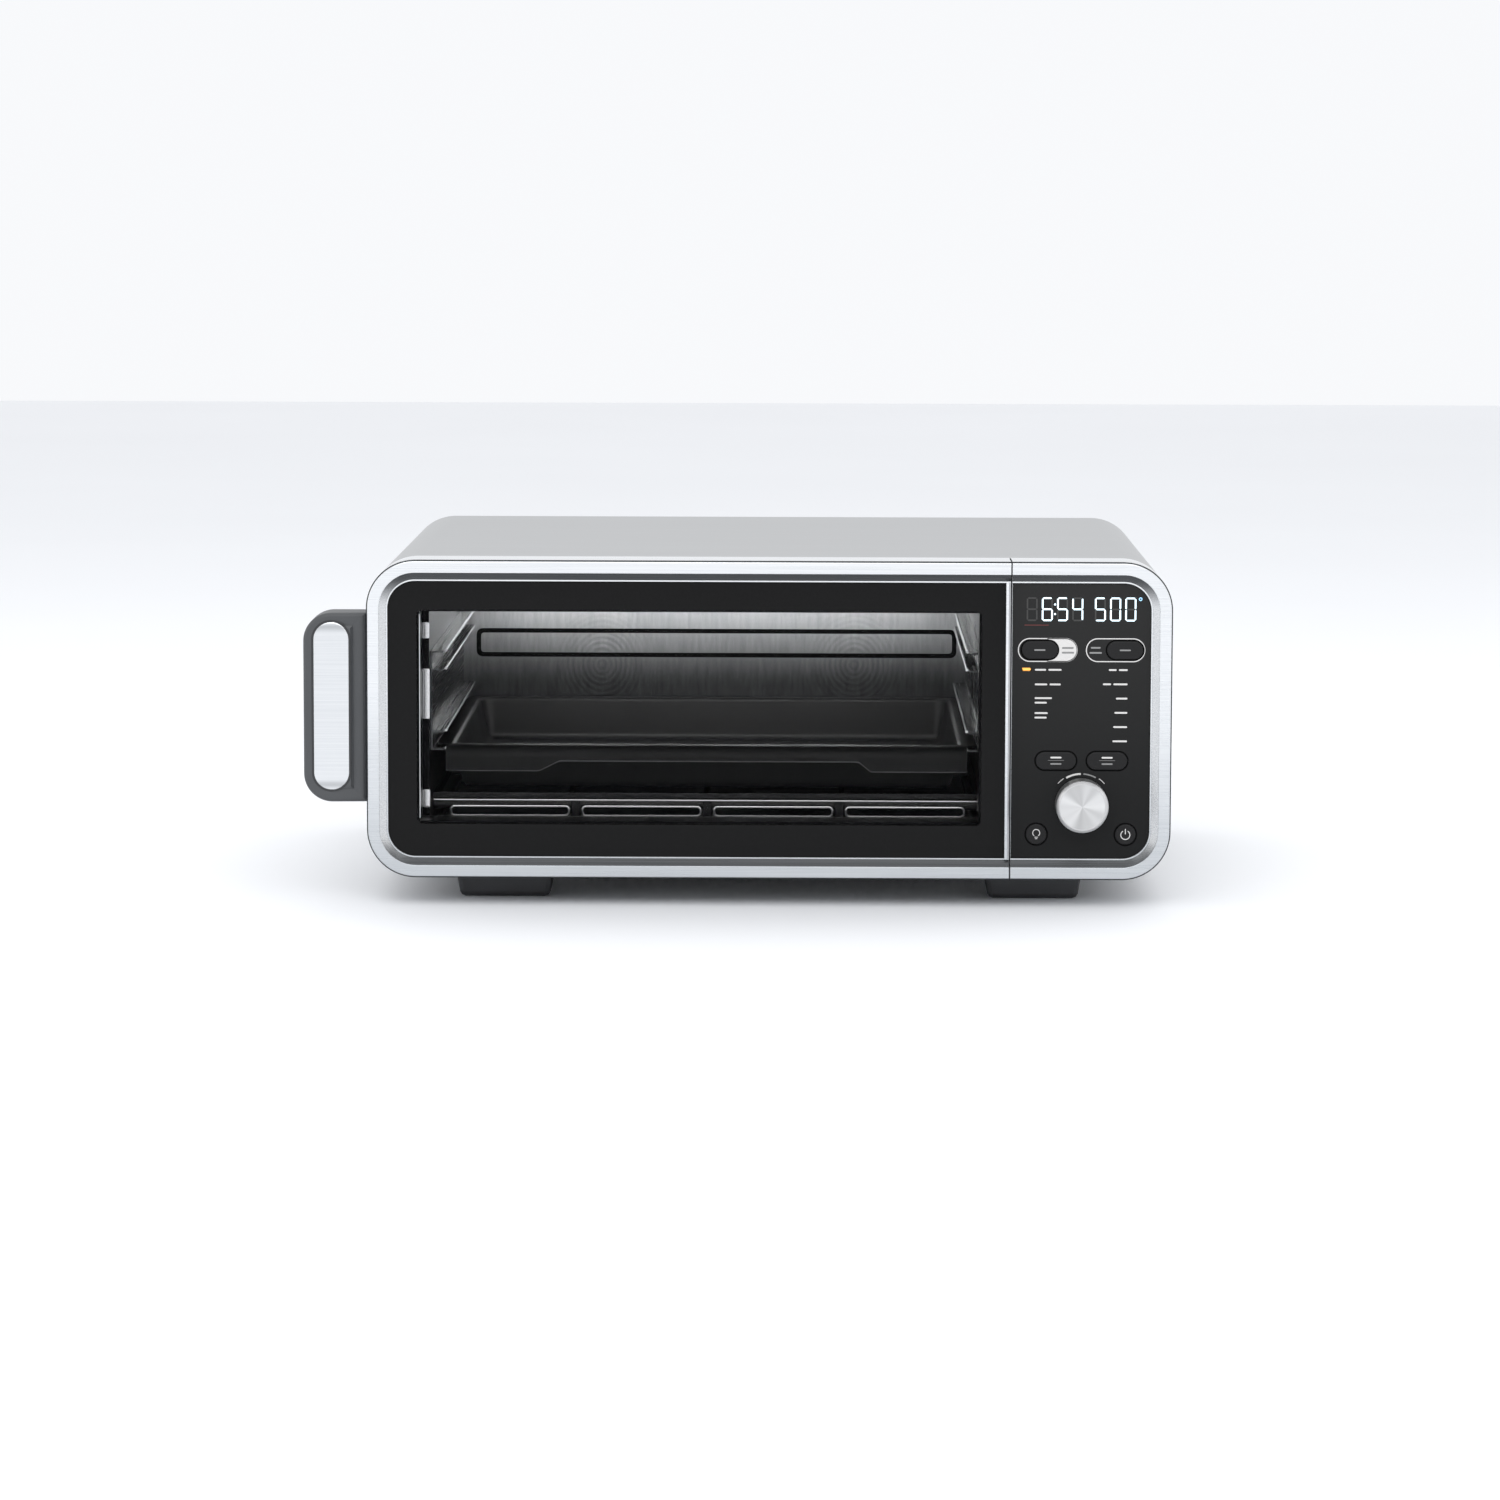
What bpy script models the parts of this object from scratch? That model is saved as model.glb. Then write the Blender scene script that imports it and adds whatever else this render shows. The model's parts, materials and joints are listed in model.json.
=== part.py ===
"""A low countertop toaster oven: a steel sleeve round a lit cavity, with a drop-down glass door carrying a
side handle on the left and a control panel on the right. Metres, +Z up, the front faces -Y, and the origin
is on the counter under the middle of the whole oven."""

import math

import bmesh
import bpy
from mathutils import Matrix, Vector

# Overall sizes
BODY_WIDTH = 0.478
BODY_HEIGHT = 0.1895
BODY_DEPTH = 0.380
CORNER_RADIUS = 0.029
FOOT_HEIGHT = 0.0167
HANDLE_REACH = 0.0377
KNOB_PROUD = 0.014
SPACER_LENGTH = 0.040

# Clearances
GAP = 0.0003
SEAM_GAP = 0.0009
MODULE_GAP = 0.0010

# Front module: the door and the control panel share one rim section
MODULE_DEPTH = 0.034
MODULE_WALL = 0.002
PANEL_WIDTH = 0.0955
RIM_FLAT = 0.0074
RIM_SLOPE = 0.0041
RIM_LEDGE = 0.0011
RIM_DROP = 0.003
LIP_THICKNESS = 0.004
EDGE_STRIP = 0.0028

# Door
GLASS_THICKNESS = 0.004
GLASS_OVERLAP = 0.005
WINDOW_LEFT = 0.0172
WINDOW_RIGHT = 0.0141
WINDOW_TOP = 0.0173
WINDOW_BOTTOM = 0.0193
INNER_SHEET = 0.0015
INNER_SETBACK = 0.001
TUNNEL_WALL = 0.0012
INNER_GLASS_THICKNESS = 0.003
INNER_GLASS_BACK = 0.005
HINGE_DEPTH = 0.018
HINGE_RISE = 0.0075
HINGE_CHAMFER = 0.006
HINGE_ARM_THICKNESS = 0.003
HINGE_ARM_HALF_HEIGHT = 0.004
HINGE_ARM_LENGTH = 0.062
HINGE_PIN_RADIUS = 0.002
HINGE_PIN_LENGTH = 0.012
HINGE_INSET_LEFT = 0.0315
HINGE_INSET_RIGHT = 0.0130
NOTCH_PLAY = 0.0015
ARM_FOOT_HALF = 0.008
ARM_FOOT_LENGTH = 0.029
ARM_FOOT_SHEET = 0.0015

# Handle
HANDLE_HEIGHT = 0.1130
HANDLE_BOTTOM = 0.0447
HANDLE_CORNER = 0.017
HANDLE_DEPTH = 0.026
HANDLE_SETBACK = 0.004
HANDLE_FRONT_WALL = 0.009
HANDLE_SIDE_WALL = 0.0075
INLAY_WIDTH = 0.0213
INLAY_HEIGHT = 0.1004
INLAY_OFFSET = 0.0060
INLAY_LIFT = 0.0009
INLAY_THICKNESS = 0.0012

# Sheet metal of the housing
WRAP_SHEET = 0.001
WRAP_FLANGE = 0.075
BASE_SHEET = 0.0012
REAR_SHEET = 0.0012
FRAME_SHEET = 0.0015
VENT_SLOT = 0.005
BASE_VENT_HALF = 0.090
BASE_VENT_SPAN = (0.120, 0.270)
REAR_VENT_MARGIN = (0.119, 0.139)
REAR_VENT_INSET = 0.018
REAR_VENT_BAND = 0.036
WIRING_LEFT = 0.012
WIRING_RIGHT = 0.020
WIRING_BOTTOM = 0.030
WIRING_TOP = 0.020

# Cavity: the air space left between the liner and the body on each side
SPACE_LEFT = 0.035
SPACE_RIGHT = 0.0155
SPACE_BACK = 0.038
SPACE_BELOW = 0.024
SPACE_ABOVE = 0.0175
CAVITY_SHEET = 0.001
GROOVE_MARGINS = (0.0098, 0.0073)
GROOVE_HEIGHT = 0.0188
GROOVE_LINE = 0.003
GROOVE_DROP = 0.0536
GROOVE_CORNER = 0.004

# Rack guides: two open channels on each side
RAIL_REACH = 0.0082
RAIL_SHEET = 0.0012
RAIL_CHANNEL = 0.0095
RAIL_LOWER = 0.0478
RAIL_PITCH = 0.048
RAIL_FRONT_GAP = 0.0049
RAIL_BACK_GAP = 0.003
AIR_WINDOW = 0.068

# Sheet pan and crumb tray
PAN_FLANGE_PLAY = 0.0018
PAN_FLANGE_WIDTH = 0.0095
PAN_END_FLANGE = 0.008
PAN_FRONT_GAP = 0.0029
PAN_BACK_GAP = 0.006
PAN_DROP = 0.0265
PAN_SHEET = 0.0012
PAN_TAPER = 0.006
TRAY_FRONT_GAP = 0.0029
TRAY_BACK_GAP = 0.007
TRAY_SIDE_GAP = 0.004
TRAY_RIM = 0.004
TRAY_SHEET = 0.001

# Heating elements
HEATER_RADIUS = 0.0035
HEATER_OVERHANG = 0.010
HEATER_LOWER_RISE = 0.012
HEATER_UPPER_DROP = 0.011
HEATER_FRONT_GAP = 0.0379
HEATER_BACK_GAP = 0.092
GUARD_BAR = 0.003
GUARD_RISE = 0.018
GUARD_FRONT_GAP = 0.0149
GUARD_BACK_GAP = 0.042
GUARD_BRACKETS = 3
GUARD_SIDE_GAP = 0.0012

# Air, light and sensing
FAN_RADIUS = 0.042
FAN_BACK_GAP = 0.152
FAN_RISE = 0.002
FAN_HUB_RADIUS = 0.011
FAN_WIDTH = 0.016
FAN_BLADES = 8
FAN_SHAFT_RADIUS = 0.003
FAN_SLOT_PITCH = 0.010
FAN_WALL_GAP = 0.002
BLADE_SHEET = 0.0012
MOTOR_RADIUS = 0.026
MOTOR_LENGTH = 0.036
SHIELD_OFFSET = 0.024
SHIELD_FRONT_GAP = 0.0079
SHIELD_BACK_REACH = 0.003
SHIELD_FOOT = 0.010
SHIELD_TOP_GAP = 0.002
COOLING_RADIUS = 0.032
COOLING_WIDTH = 0.012
COOLING_GAP = 0.003
COOLING_HUB = 0.009
COOLING_SHAFT = 0.0017
COOLING_MOTOR = (0.010, 0.014)
COOLING_INSET = 0.054
COOLING_RISE = 0.095
LAMP_RADIUS = 0.014
LAMP_BACK_GAP = 0.042
LAMP_DROP = 0.019
LAMP_SEAT = 0.003
BULB_RADIUS = 0.009
BULB_LENGTH = 0.022
PROBE_RADIUS = 0.002
PROBE_LENGTH = 0.045
PROBE_TAIL = 0.006
PROBE_SIDE_GAP = 0.068
PROBE_DROP = 0.027

# Control panel pieces, measured from the panel's middle line and up from the bottom of the body
FASCIA_THICKNESS = 0.003
PANEL_MIDDLE_INSET = 0.0532
BUTTON_PLAY = 0.0003
BUTTON_PROUD = 0.0006
BUTTON_TRAVEL = 0.0010
BUTTON_FLANGE = 0.0012
FLANGE_REACH = 0.0010
STEM_HALF = 0.002
SWITCH_HEIGHT = 0.0015
SHAFT_PLAY = 0.001
MODE_BUTTON = (0.0217, 0.0110)
MODE_X = 0.0253
MODE_RISE = 0.1371
SET_BUTTON = (0.0242, 0.0109)
SET_X = 0.0152
SET_RISE = 0.0710
ROUND_BUTTON = 0.0063
ROUND_X = 0.0265
ROUND_RISE = 0.0270
KNOB_RADIUS = 0.0155
KNOB_RISE = 0.0454
KNOB_LIFT = 0.0015
KNOB_DISH = 0.0010
KNOB_FACE = 0.005
KNOB_EDGE = 0.001
SHAFT_RADIUS = 0.003
ENCODER_HALF = 0.007
BOARD_DEPTH = 0.021
BOARD_SHEET = 0.0016
LED_SIZE = (0.0053, 0.0014)
LED_X = -0.0330
LED_RISE = 0.1255
LED_TAIL = 0.004
DISPLAY_INSET = 0.002
DISPLAY_HEIGHT = 0.030
DISPLAY_THICKNESS = 0.0097
BOARD_INSET = 0.005
POWER_BOARD_INSET = 0.030
POWER_BOARD_SPAN = (0.070, 0.230)
POWER_BOARD_RISE = (0.025, 0.150)
RELAY = (0.018, (0.090, 0.115), (0.045, 0.065))
FILTER_COIL = (0.015, (0.140, 0.175), (0.080, 0.110))

# Feet, spacers and cord outlet
FOOT_WIDTH = 0.059
FOOT_LENGTH = 0.030
FOOT_TAPER = 0.91
FOOT_INSET = 0.080
FRONT_FOOT_GAP = 0.002
REAR_FOOT_GAP = 0.050
SPACER_WIDTH = 0.034
SPACER_HEIGHT = 0.110
SPACER_INSET = 0.074
SPACER_RISE = 0.035
SPACER_EDGE = 0.004
FOOT_EDGE = 0.003
GLAND_RADIUS = 0.009
GLAND_BORE = 0.0038
GLAND_NECK = 0.0065
GLAND_FLANGE = 0.003
GLAND_REACH = 0.008
GLAND_INSET = 0.034
GLAND_RISE = 0.025

# Places worked out from the sizes above
BODY_X = HANDLE_REACH / 2
FRONT_Y = KNOB_PROUD - (KNOB_PROUD + BODY_DEPTH + SPACER_LENGTH) / 2
BODY_BOTTOM = FOOT_HEIGHT
BODY_TOP = FOOT_HEIGHT + BODY_HEIGHT
HALF = BODY_WIDTH / 2
SEAM = HALF - PANEL_WIDTH
RIM = RIM_FLAT + RIM_SLOPE + RIM_LEDGE
DOOR_RIGHT = SEAM - SEAM_GAP / 2
PANEL_LEFT = SEAM + SEAM_GAP / 2
GLASS_FRONT = LIP_THICKNESS + GAP
GLASS_BACK = GLASS_FRONT + GLASS_THICKNESS
WRAP_FRONT = MODULE_DEPTH + MODULE_GAP
OPENING_RADIUS = CORNER_RADIUS - RIM
FRAME_FRONT = WRAP_FRONT + GAP
CAVITY_FRONT = FRAME_FRONT + FRAME_SHEET + GAP
CAVITY_LEFT = HALF - SPACE_LEFT
CAVITY_RIGHT = SEAM - SPACE_RIGHT
CAVITY_BACK = BODY_DEPTH - SPACE_BACK
CAVITY_FLOOR = BODY_BOTTOM + SPACE_BELOW
CAVITY_CEILING = BODY_TOP - SPACE_ABOVE
CAVITY_MIDDLE = (CAVITY_RIGHT - CAVITY_LEFT) / 2
INNER_GLASS_DEPTH = MODULE_DEPTH - INNER_GLASS_BACK - INNER_GLASS_THICKNESS
HEATER_FRONT = CAVITY_FRONT + HEATER_FRONT_GAP
HEATER_REAR = CAVITY_BACK - HEATER_BACK_GAP
GUARD_FRONT = CAVITY_FRONT + GUARD_FRONT_GAP
GUARD_REAR = CAVITY_BACK - GUARD_BACK_GAP
FAN_DEPTH = CAVITY_BACK - FAN_BACK_GAP
FAN_HEIGHT = (CAVITY_FLOOR + CAVITY_CEILING) / 2 + FAN_RISE
LAMP_DEPTH = CAVITY_BACK - LAMP_BACK_GAP
LAMP_HEIGHT = CAVITY_CEILING - LAMP_DROP
PROBE_X = CAVITY_RIGHT - PROBE_SIDE_GAP
PROBE_Z = CAVITY_CEILING - PROBE_DROP
COOLING_X = HALF - COOLING_INSET
PANEL_MIDDLE = HALF - PANEL_MIDDLE_INSET
FOOT_X = HALF - FOOT_INSET
SPACER_X = HALF - SPACER_INSET
GLAND_X = HALF - GLAND_INSET
GLAND_Z = BODY_BOTTOM + GLAND_RISE
SPACER_Z = BODY_BOTTOM + SPACER_RISE
COOLING_Z = BODY_BOTTOM + COOLING_RISE
MODE_Z = BODY_BOTTOM + MODE_RISE
SET_Z = BODY_BOTTOM + SET_RISE
ROUND_Z = BODY_BOTTOM + ROUND_RISE
KNOB_Z = BODY_BOTTOM + KNOB_RISE
LED_Z = BODY_BOTTOM + LED_RISE
HINGE_Z = BODY_BOTTOM + HINGE_RISE
HINGE_ARMS = (HINGE_INSET_LEFT - HALF, DOOR_RIGHT - HINGE_INSET_RIGHT)
FASCIA_FRONT = LIP_THICKNESS + GAP
FASCIA_BACK = FASCIA_FRONT + FASCIA_THICKNESS
RAIL_TOP_LOWER = CAVITY_FLOOR + RAIL_LOWER + RAIL_SHEET
LONG = 1.0
OVER = 0.002

COLLECTION = "toaster_oven"
ROUND_STEPS = 24
PIN_STEPS = 16
KNOB_STEPS = 40
CORNER_STEPS = 8
PILL_STEPS = 6
FULL_ROUND = 0.999


def clear_scene():
    for old in list(bpy.context.scene.objects):
        bpy.data.objects.remove(old, do_unlink=True)


def make_collections():
    parts = bpy.data.collections.new(COLLECTION)
    cutters = bpy.data.collections.new("cutters")
    for group in (parts, cutters):
        bpy.context.scene.collection.children.link(group)
    return parts, cutters


clear_scene()
PARTS, CUTTERS = make_collections()


def material(name, color, roughness, metallic):
    made = bpy.data.materials.new(name)
    made.use_nodes = True
    shader = made.node_tree.nodes["Principled BSDF"]
    shader.inputs["Base Color"].default_value = (*color, 1.0)
    shader.inputs["Roughness"].default_value = roughness
    shader.inputs["Metallic"].default_value = metallic
    return made


STEEL = ("brushed_steel", (0.62, 0.62, 0.61), 0.32, 1.0)
BRIGHT = ("bright_steel", (0.80, 0.80, 0.79), 0.18, 1.0)
LINER = ("liner_steel", (0.55, 0.55, 0.54), 0.35, 1.0)
PLASTIC = ("grey_plastic", (0.09, 0.095, 0.10), 0.45, 0.0)
RUBBER = ("foot_rubber", (0.03, 0.03, 0.035), 0.75, 0.0)
BLACK = ("black_fascia", (0.012, 0.012, 0.014), 0.12, 0.0)
GLASS = ("dark_glass", (0.02, 0.02, 0.02), 0.05, 0.0)
CLEAR = ("clear_glass", (0.80, 0.85, 0.85), 0.04, 0.0)
NONSTICK = ("nonstick_coating", (0.02, 0.02, 0.02), 0.40, 0.0)
ALUMINIUM = ("knob_aluminium", (0.78, 0.78, 0.78), 0.25, 1.0)
HEATER = ("heater_sheath", (0.16, 0.15, 0.14), 0.55, 0.8)
BOARD = ("circuit_board", (0.03, 0.16, 0.06), 0.50, 0.0)
AMBER = ("amber_lens", (0.90, 0.35, 0.05), 0.30, 0.0)


def finish(piece, name, look, smooth=False):
    """Names a piece, gives it its own material and puts it with the parts."""
    piece.name = name
    piece.data.name = name
    piece.data.materials.clear()
    piece.data.materials.append(material(f"{name}_{look[0]}", *look[1:]))
    if smooth:
        piece.data.shade_smooth()
        piece.data.set_sharp_from_angle(angle=math.radians(35))
    return piece


def add(mesh_name, shape, group=None):
    """A new object from a bmesh."""
    mesh = bpy.data.meshes.new(mesh_name)
    shape.to_mesh(mesh)
    shape.free()
    piece = bpy.data.objects.new(mesh_name, mesh)
    (group or PARTS).objects.link(piece)
    return piece


def cuboid(shape, xs, ds, zs):
    """Adds a cuboid to a bmesh: x from the body's middle, d behind the front plane, z above the counter."""
    made = bmesh.ops.create_cube(shape, size=1.0)["verts"]
    size = Vector((xs[1] - xs[0], ds[1] - ds[0], zs[1] - zs[0]))
    middle = Vector((BODY_X + sum(xs) / 2, FRONT_Y + sum(ds) / 2, sum(zs) / 2))
    bmesh.ops.scale(shape, vec=size, verts=made)
    bmesh.ops.translate(shape, vec=middle, verts=made)
    return made


def block(name, xs, ds, zs, group=None):
    shape = bmesh.new()
    cuboid(shape, xs, ds, zs)
    return add(name, shape, group)


def blocks(name, spans, group=None):
    """Several separate cuboids in one mesh."""
    shape = bmesh.new()
    for xs, ds, zs in spans:
        cuboid(shape, xs, ds, zs)
    return add(name, shape, group)


def rounded(name, xs, ds, zs, radius, sides="both", group=None, steps=CORNER_STEPS):
    """A slab whose edges along Y are rounded, on both sides or on one."""
    shape = bmesh.new()
    cuboid(shape, xs, ds, zs)
    middle = BODY_X + sum(xs) / 2

    def runs_back(edge):
        a, b = (v.co for v in edge.verts)
        along = abs(a.y - b.y) > abs(a.x - b.x) + abs(a.z - b.z)
        left = a.x < middle
        return along and (sides == "both" or (sides == "left") == left)

    edges = [edge for edge in shape.edges if runs_back(edge)]
    bmesh.ops.bevel(shape, geom=edges, offset=radius, segments=steps, profile=0.5, affect="EDGES")
    return add(name, shape, group)


def cutter(piece):
    piece.hide_render = True
    piece.display_type = "WIRE"
    return piece


def combine(piece, other, operation):
    step = piece.modifiers.new(operation.lower(), "BOOLEAN")
    step.operation = operation
    step.object = cutter(other)
    return piece


def cut(piece, *others):
    for other in others:
        combine(piece, other, "DIFFERENCE")
    return piece


def join(piece, *others):
    for other in others:
        combine(piece, other, "UNION")
    return piece


def soften(piece, width, segments=2):
    step = piece.modifiers.new("soft_edges", "BEVEL")
    step.width = width
    step.segments = segments
    step.limit_method = "ANGLE"
    step.angle_limit = math.radians(40)
    return piece


def turned(name, profile, place, axis="Y", steps=ROUND_STEPS, group=None):
    """A turned piece. The profile runs (radius, distance along the axis) down its outer side."""
    mesh = bpy.data.meshes.new(name)
    rail = [(radius, 0.0, height) for radius, height in profile]
    edges = [(i, i + 1) for i in range(len(rail) - 1)]
    mesh.from_pydata(rail, edges, [])
    piece = bpy.data.objects.new(name, mesh)
    (group or PARTS).objects.link(piece)
    spin = piece.modifiers.new("turned", "SCREW")
    spin.steps = steps
    spin.render_steps = steps
    spin.use_merge_vertices = True
    spin.merge_threshold = 0.00001
    spin.use_smooth_shade = True
    x, d, z = place
    piece.location = (BODY_X + x, FRONT_Y + d, z)
    piece.rotation_euler = {"Y": (math.radians(90), 0, 0), "X": (0, math.radians(90), 0)}[axis]
    return piece


def rod_profile(radius, front, back):
    """A plain cylinder between two distances along the axis, the larger one first."""
    return [(0, front), (radius, front), (radius, back), (0, back)]


def ring_profile(outer, inner, front, back):
    return [(inner, back), (inner, front), (outer, front), (outer, back), (inner, back)]


def hole(radius, place, length, axis="Y", name="hole"):
    """A round cutter centred on a place."""
    made = turned(name, rod_profile(radius, length / 2, -length / 2), place, axis, group=CUTTERS)
    return cutter(made)


def set_origin(piece, x, d, z):
    """Moves a piece's origin to a point and leaves its shape where it is."""
    point = Vector((BODY_X + x, FRONT_Y + d, z))
    piece.data.transform(Matrix.Translation(piece.location - point))
    piece.location = point
    return piece


def outer_wrap():
    """Sleeve of brushed sheet bent round the body, open along the middle of the bottom."""
    span = (WRAP_FRONT, BODY_DEPTH)
    sleeve = rounded("outer_wrap", (-HALF, HALF), span, (BODY_BOTTOM, BODY_TOP), CORNER_RADIUS)
    reach = HALF - WRAP_SHEET
    heights = (BODY_BOTTOM + WRAP_SHEET, BODY_TOP - WRAP_SHEET)
    through = (span[0] - OVER, span[1] + OVER)
    inner_radius = CORNER_RADIUS - WRAP_SHEET
    inside = rounded("wrap_inside", (-reach, reach), through, heights, inner_radius, group=CUTTERS)
    strip = HALF - WRAP_FLANGE
    low = (BODY_BOTTOM - OVER, BODY_BOTTOM + 2 * WRAP_SHEET)
    slot = block("wrap_slot", (-strip, strip), through, low, CUTTERS)
    return finish(cut(sleeve, inside, slot), "outer_wrap", STEEL)


def slots(name, xs, ds, zs, across, count, size, in_base):
    """A row of ventilation slots spread over across: rows in depth in the base, in height elsewhere."""
    spans = []
    for i in range(count):
        middle = across[0] + (across[1] - across[0]) * (i + 0.5) / count
        band = (middle - size / 2, middle + size / 2)
        spans.append((xs, band, zs) if in_base else (xs, ds, band))
    return blocks(name, spans, CUTTERS)


def base_plate():
    """Bottom sheet laid over the sleeve's two flanges, with air slots."""
    low = BODY_BOTTOM + WRAP_SHEET + GAP
    reach = HALF - CORNER_RADIUS
    span = (CAVITY_FRONT, BODY_DEPTH - REAR_SHEET - 2 * GAP)
    plate = block("base_plate", (-reach, reach), span, (low, low + BASE_SHEET))
    through = (low - OVER, low + BASE_SHEET + OVER)
    across = (-BASE_VENT_HALF, BASE_VENT_HALF)
    air = slots("base_slots", across, None, through, BASE_VENT_SPAN, 8, VENT_SLOT, True)
    return finish(cut(plate, air), "base_plate", LINER)


def rear_panel():
    """Back sheet set inside the sleeve, with two fields of slots, the cooling outlet and the cord hole."""
    inset = WRAP_SHEET + GAP
    reach = HALF - inset
    heights = (BODY_BOTTOM + inset, BODY_TOP - inset)
    span = (BODY_DEPTH - REAR_SHEET, BODY_DEPTH)
    panel = rounded("rear_panel", (-reach, reach), span, heights, CORNER_RADIUS - inset)
    deep = (span[0] - OVER, span[1] + OVER)
    top_band = (BODY_TOP - REAR_VENT_INSET - REAR_VENT_BAND, BODY_TOP - REAR_VENT_INSET)
    low_band = (BODY_BOTTOM + REAR_VENT_INSET, BODY_BOTTOM + REAR_VENT_INSET + REAR_VENT_BAND)
    vent_x = (REAR_VENT_MARGIN[0] - HALF, HALF - REAR_VENT_MARGIN[1])
    high = slots("rear_slots_high", vent_x, deep, None, top_band, 4, VENT_SLOT, False)
    low = slots("rear_slots_low", vent_x, deep, None, low_band, 4, VENT_SLOT, False)
    outlet_x = (COOLING_X - COOLING_RADIUS * 0.8, COOLING_X + COOLING_RADIUS * 0.8)
    outlet_z = (COOLING_Z - COOLING_RADIUS, COOLING_Z + COOLING_RADIUS)
    outlet = slots("outlet_slots", outlet_x, deep, None, outlet_z, 6, VENT_SLOT, False)
    cord = hole(GLAND_NECK + GAP, (GLAND_X, BODY_DEPTH, GLAND_Z), 10 * REAR_SHEET)
    return finish(cut(panel, high, low, outlet, cord), "rear_panel", STEEL)


def rear_spacers():
    """Two moulded blocks that keep the back off the wall."""
    for side, name in ((-1, "rear_spacer_left"), (1, "rear_spacer_right")):
        xs = sorted((side * SPACER_X, side * (SPACER_X - SPACER_WIDTH)))
        span = (BODY_DEPTH + GAP, BODY_DEPTH + SPACER_LENGTH)
        piece = block(name, xs, span, (SPACER_Z, SPACER_Z + SPACER_HEIGHT))
        finish(soften(piece, SPACER_EDGE), name, PLASTIC)


def front_frame():
    """Sheet frame round the cavity's mouth, with a wiring opening and slots for the hinge arms."""
    inset = WRAP_SHEET + GAP
    reach = HALF - inset
    span = (FRAME_FRONT, FRAME_FRONT + FRAME_SHEET)
    heights = (BODY_BOTTOM + inset, BODY_TOP - inset)
    frame = rounded("front_frame", (-reach, reach), span, heights, CORNER_RADIUS - inset)
    deep = (span[0] - OVER, span[1] + OVER)
    mouth = block("mouth", (-CAVITY_LEFT, CAVITY_RIGHT), deep, (CAVITY_FLOOR, CAVITY_CEILING), CUTTERS)
    wiring_x = (PANEL_LEFT + WIRING_LEFT, HALF - WIRING_RIGHT)
    wiring_z = (BODY_BOTTOM + WIRING_BOTTOM, BODY_TOP - WIRING_TOP)
    wiring = block("wiring_hole", wiring_x, deep, wiring_z, CUTTERS)
    cuts = [mouth, wiring]
    for x in HINGE_ARMS:
        half = HINGE_ARM_THICKNESS / 2 + GAP
        rise = HINGE_ARM_HALF_HEIGHT + GAP
        heights = (HINGE_Z - rise, HINGE_Z + rise)
        cuts.append(block("arm_slot", (x - half, x + half), deep, heights, CUTTERS))
    return finish(cut(frame, *cuts), "front_frame", LINER)


def door_frame():
    """Rim of the door: flat bright face, a slope down to a thin ledge, and thin side walls."""
    xs = (-HALF, DOOR_RIGHT)
    zs = (BODY_BOTTOM, BODY_TOP)
    frame = rounded("door_frame", xs, (0, MODULE_DEPTH), zs, CORNER_RADIUS, "left")
    opening_x = (xs[0] + RIM, xs[1] - EDGE_STRIP)
    opening_z = (zs[0] + RIM, zs[1] - RIM)
    through = (-OVER, LIP_THICKNESS + OVER)
    opening = rounded("door_opening", opening_x, through, opening_z, OPENING_RADIUS, "left", CUTTERS)
    slope = rim_slope("door_slope", opening_x, opening_z, "left")
    cut(frame, opening, module_pocket(xs, "left"), slope, *hinge_notches(), hinge_edge())
    return finish(frame, "door_frame", BRIGHT)


def module_pocket(xs, side):
    """The hollow behind the lip of the door or the panel, open to the back."""
    pocket_x = (xs[0] + MODULE_WALL, xs[1] - MODULE_WALL)
    pocket_z = (BODY_BOTTOM + MODULE_WALL, BODY_TOP - MODULE_WALL)
    deep = (LIP_THICKNESS, MODULE_DEPTH + OVER)
    return rounded("pocket", pocket_x, deep, pocket_z, CORNER_RADIUS - MODULE_WALL, side, CUTTERS)


def rim_slope(name, opening_x, opening_z, side):
    """A cutter that widens from the ledge's outer edge to the front plane, on the rounded side and on
    the top and bottom. The other side stays straight."""
    left, right = (1, 0) if side == "left" else (0, 1)
    ledge_x = (opening_x[0] - left * RIM_LEDGE, opening_x[1] + right * RIM_LEDGE)
    ledge_z = (opening_z[0] - RIM_LEDGE, opening_z[1] + RIM_LEDGE)
    radius = OPENING_RADIUS + RIM_LEDGE
    shape = rounded(name, ledge_x, (-OVER, RIM_DROP), ledge_z, radius, side, CUTTERS)
    spread = RIM_SLOPE * (RIM_DROP + OVER) / RIM_DROP
    width, height = ledge_x[1] - ledge_x[0], ledge_z[1] - ledge_z[0]
    for vertex in shape.data.vertices:
        if vertex.co.y < FRONT_Y:
            across = (vertex.co.x - BODY_X - ledge_x[0]) / width
            up = (vertex.co.z - ledge_z[0]) / height
            vertex.co.x += spread * (right * across - left * (1 - across))
            vertex.co.z += spread * (2 * up - 1)
    return shape


def hinge_notches():
    """Clearance in the door for the two fixed hinge arms as the door turns about them."""
    made = []
    for x in HINGE_ARMS:
        half = HINGE_ARM_THICKNESS / 2 + 2 * GAP
        span = (HINGE_DEPTH - HINGE_ARM_HALF_HEIGHT - NOTCH_PLAY, MODULE_DEPTH + OVER)
        heights = (BODY_BOTTOM - OVER, HINGE_Z + HINGE_ARM_HALF_HEIGHT + NOTCH_PLAY)
        made.append(block("hinge_notch", (x - half, x + half), span, heights, CUTTERS))
    return made


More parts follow.
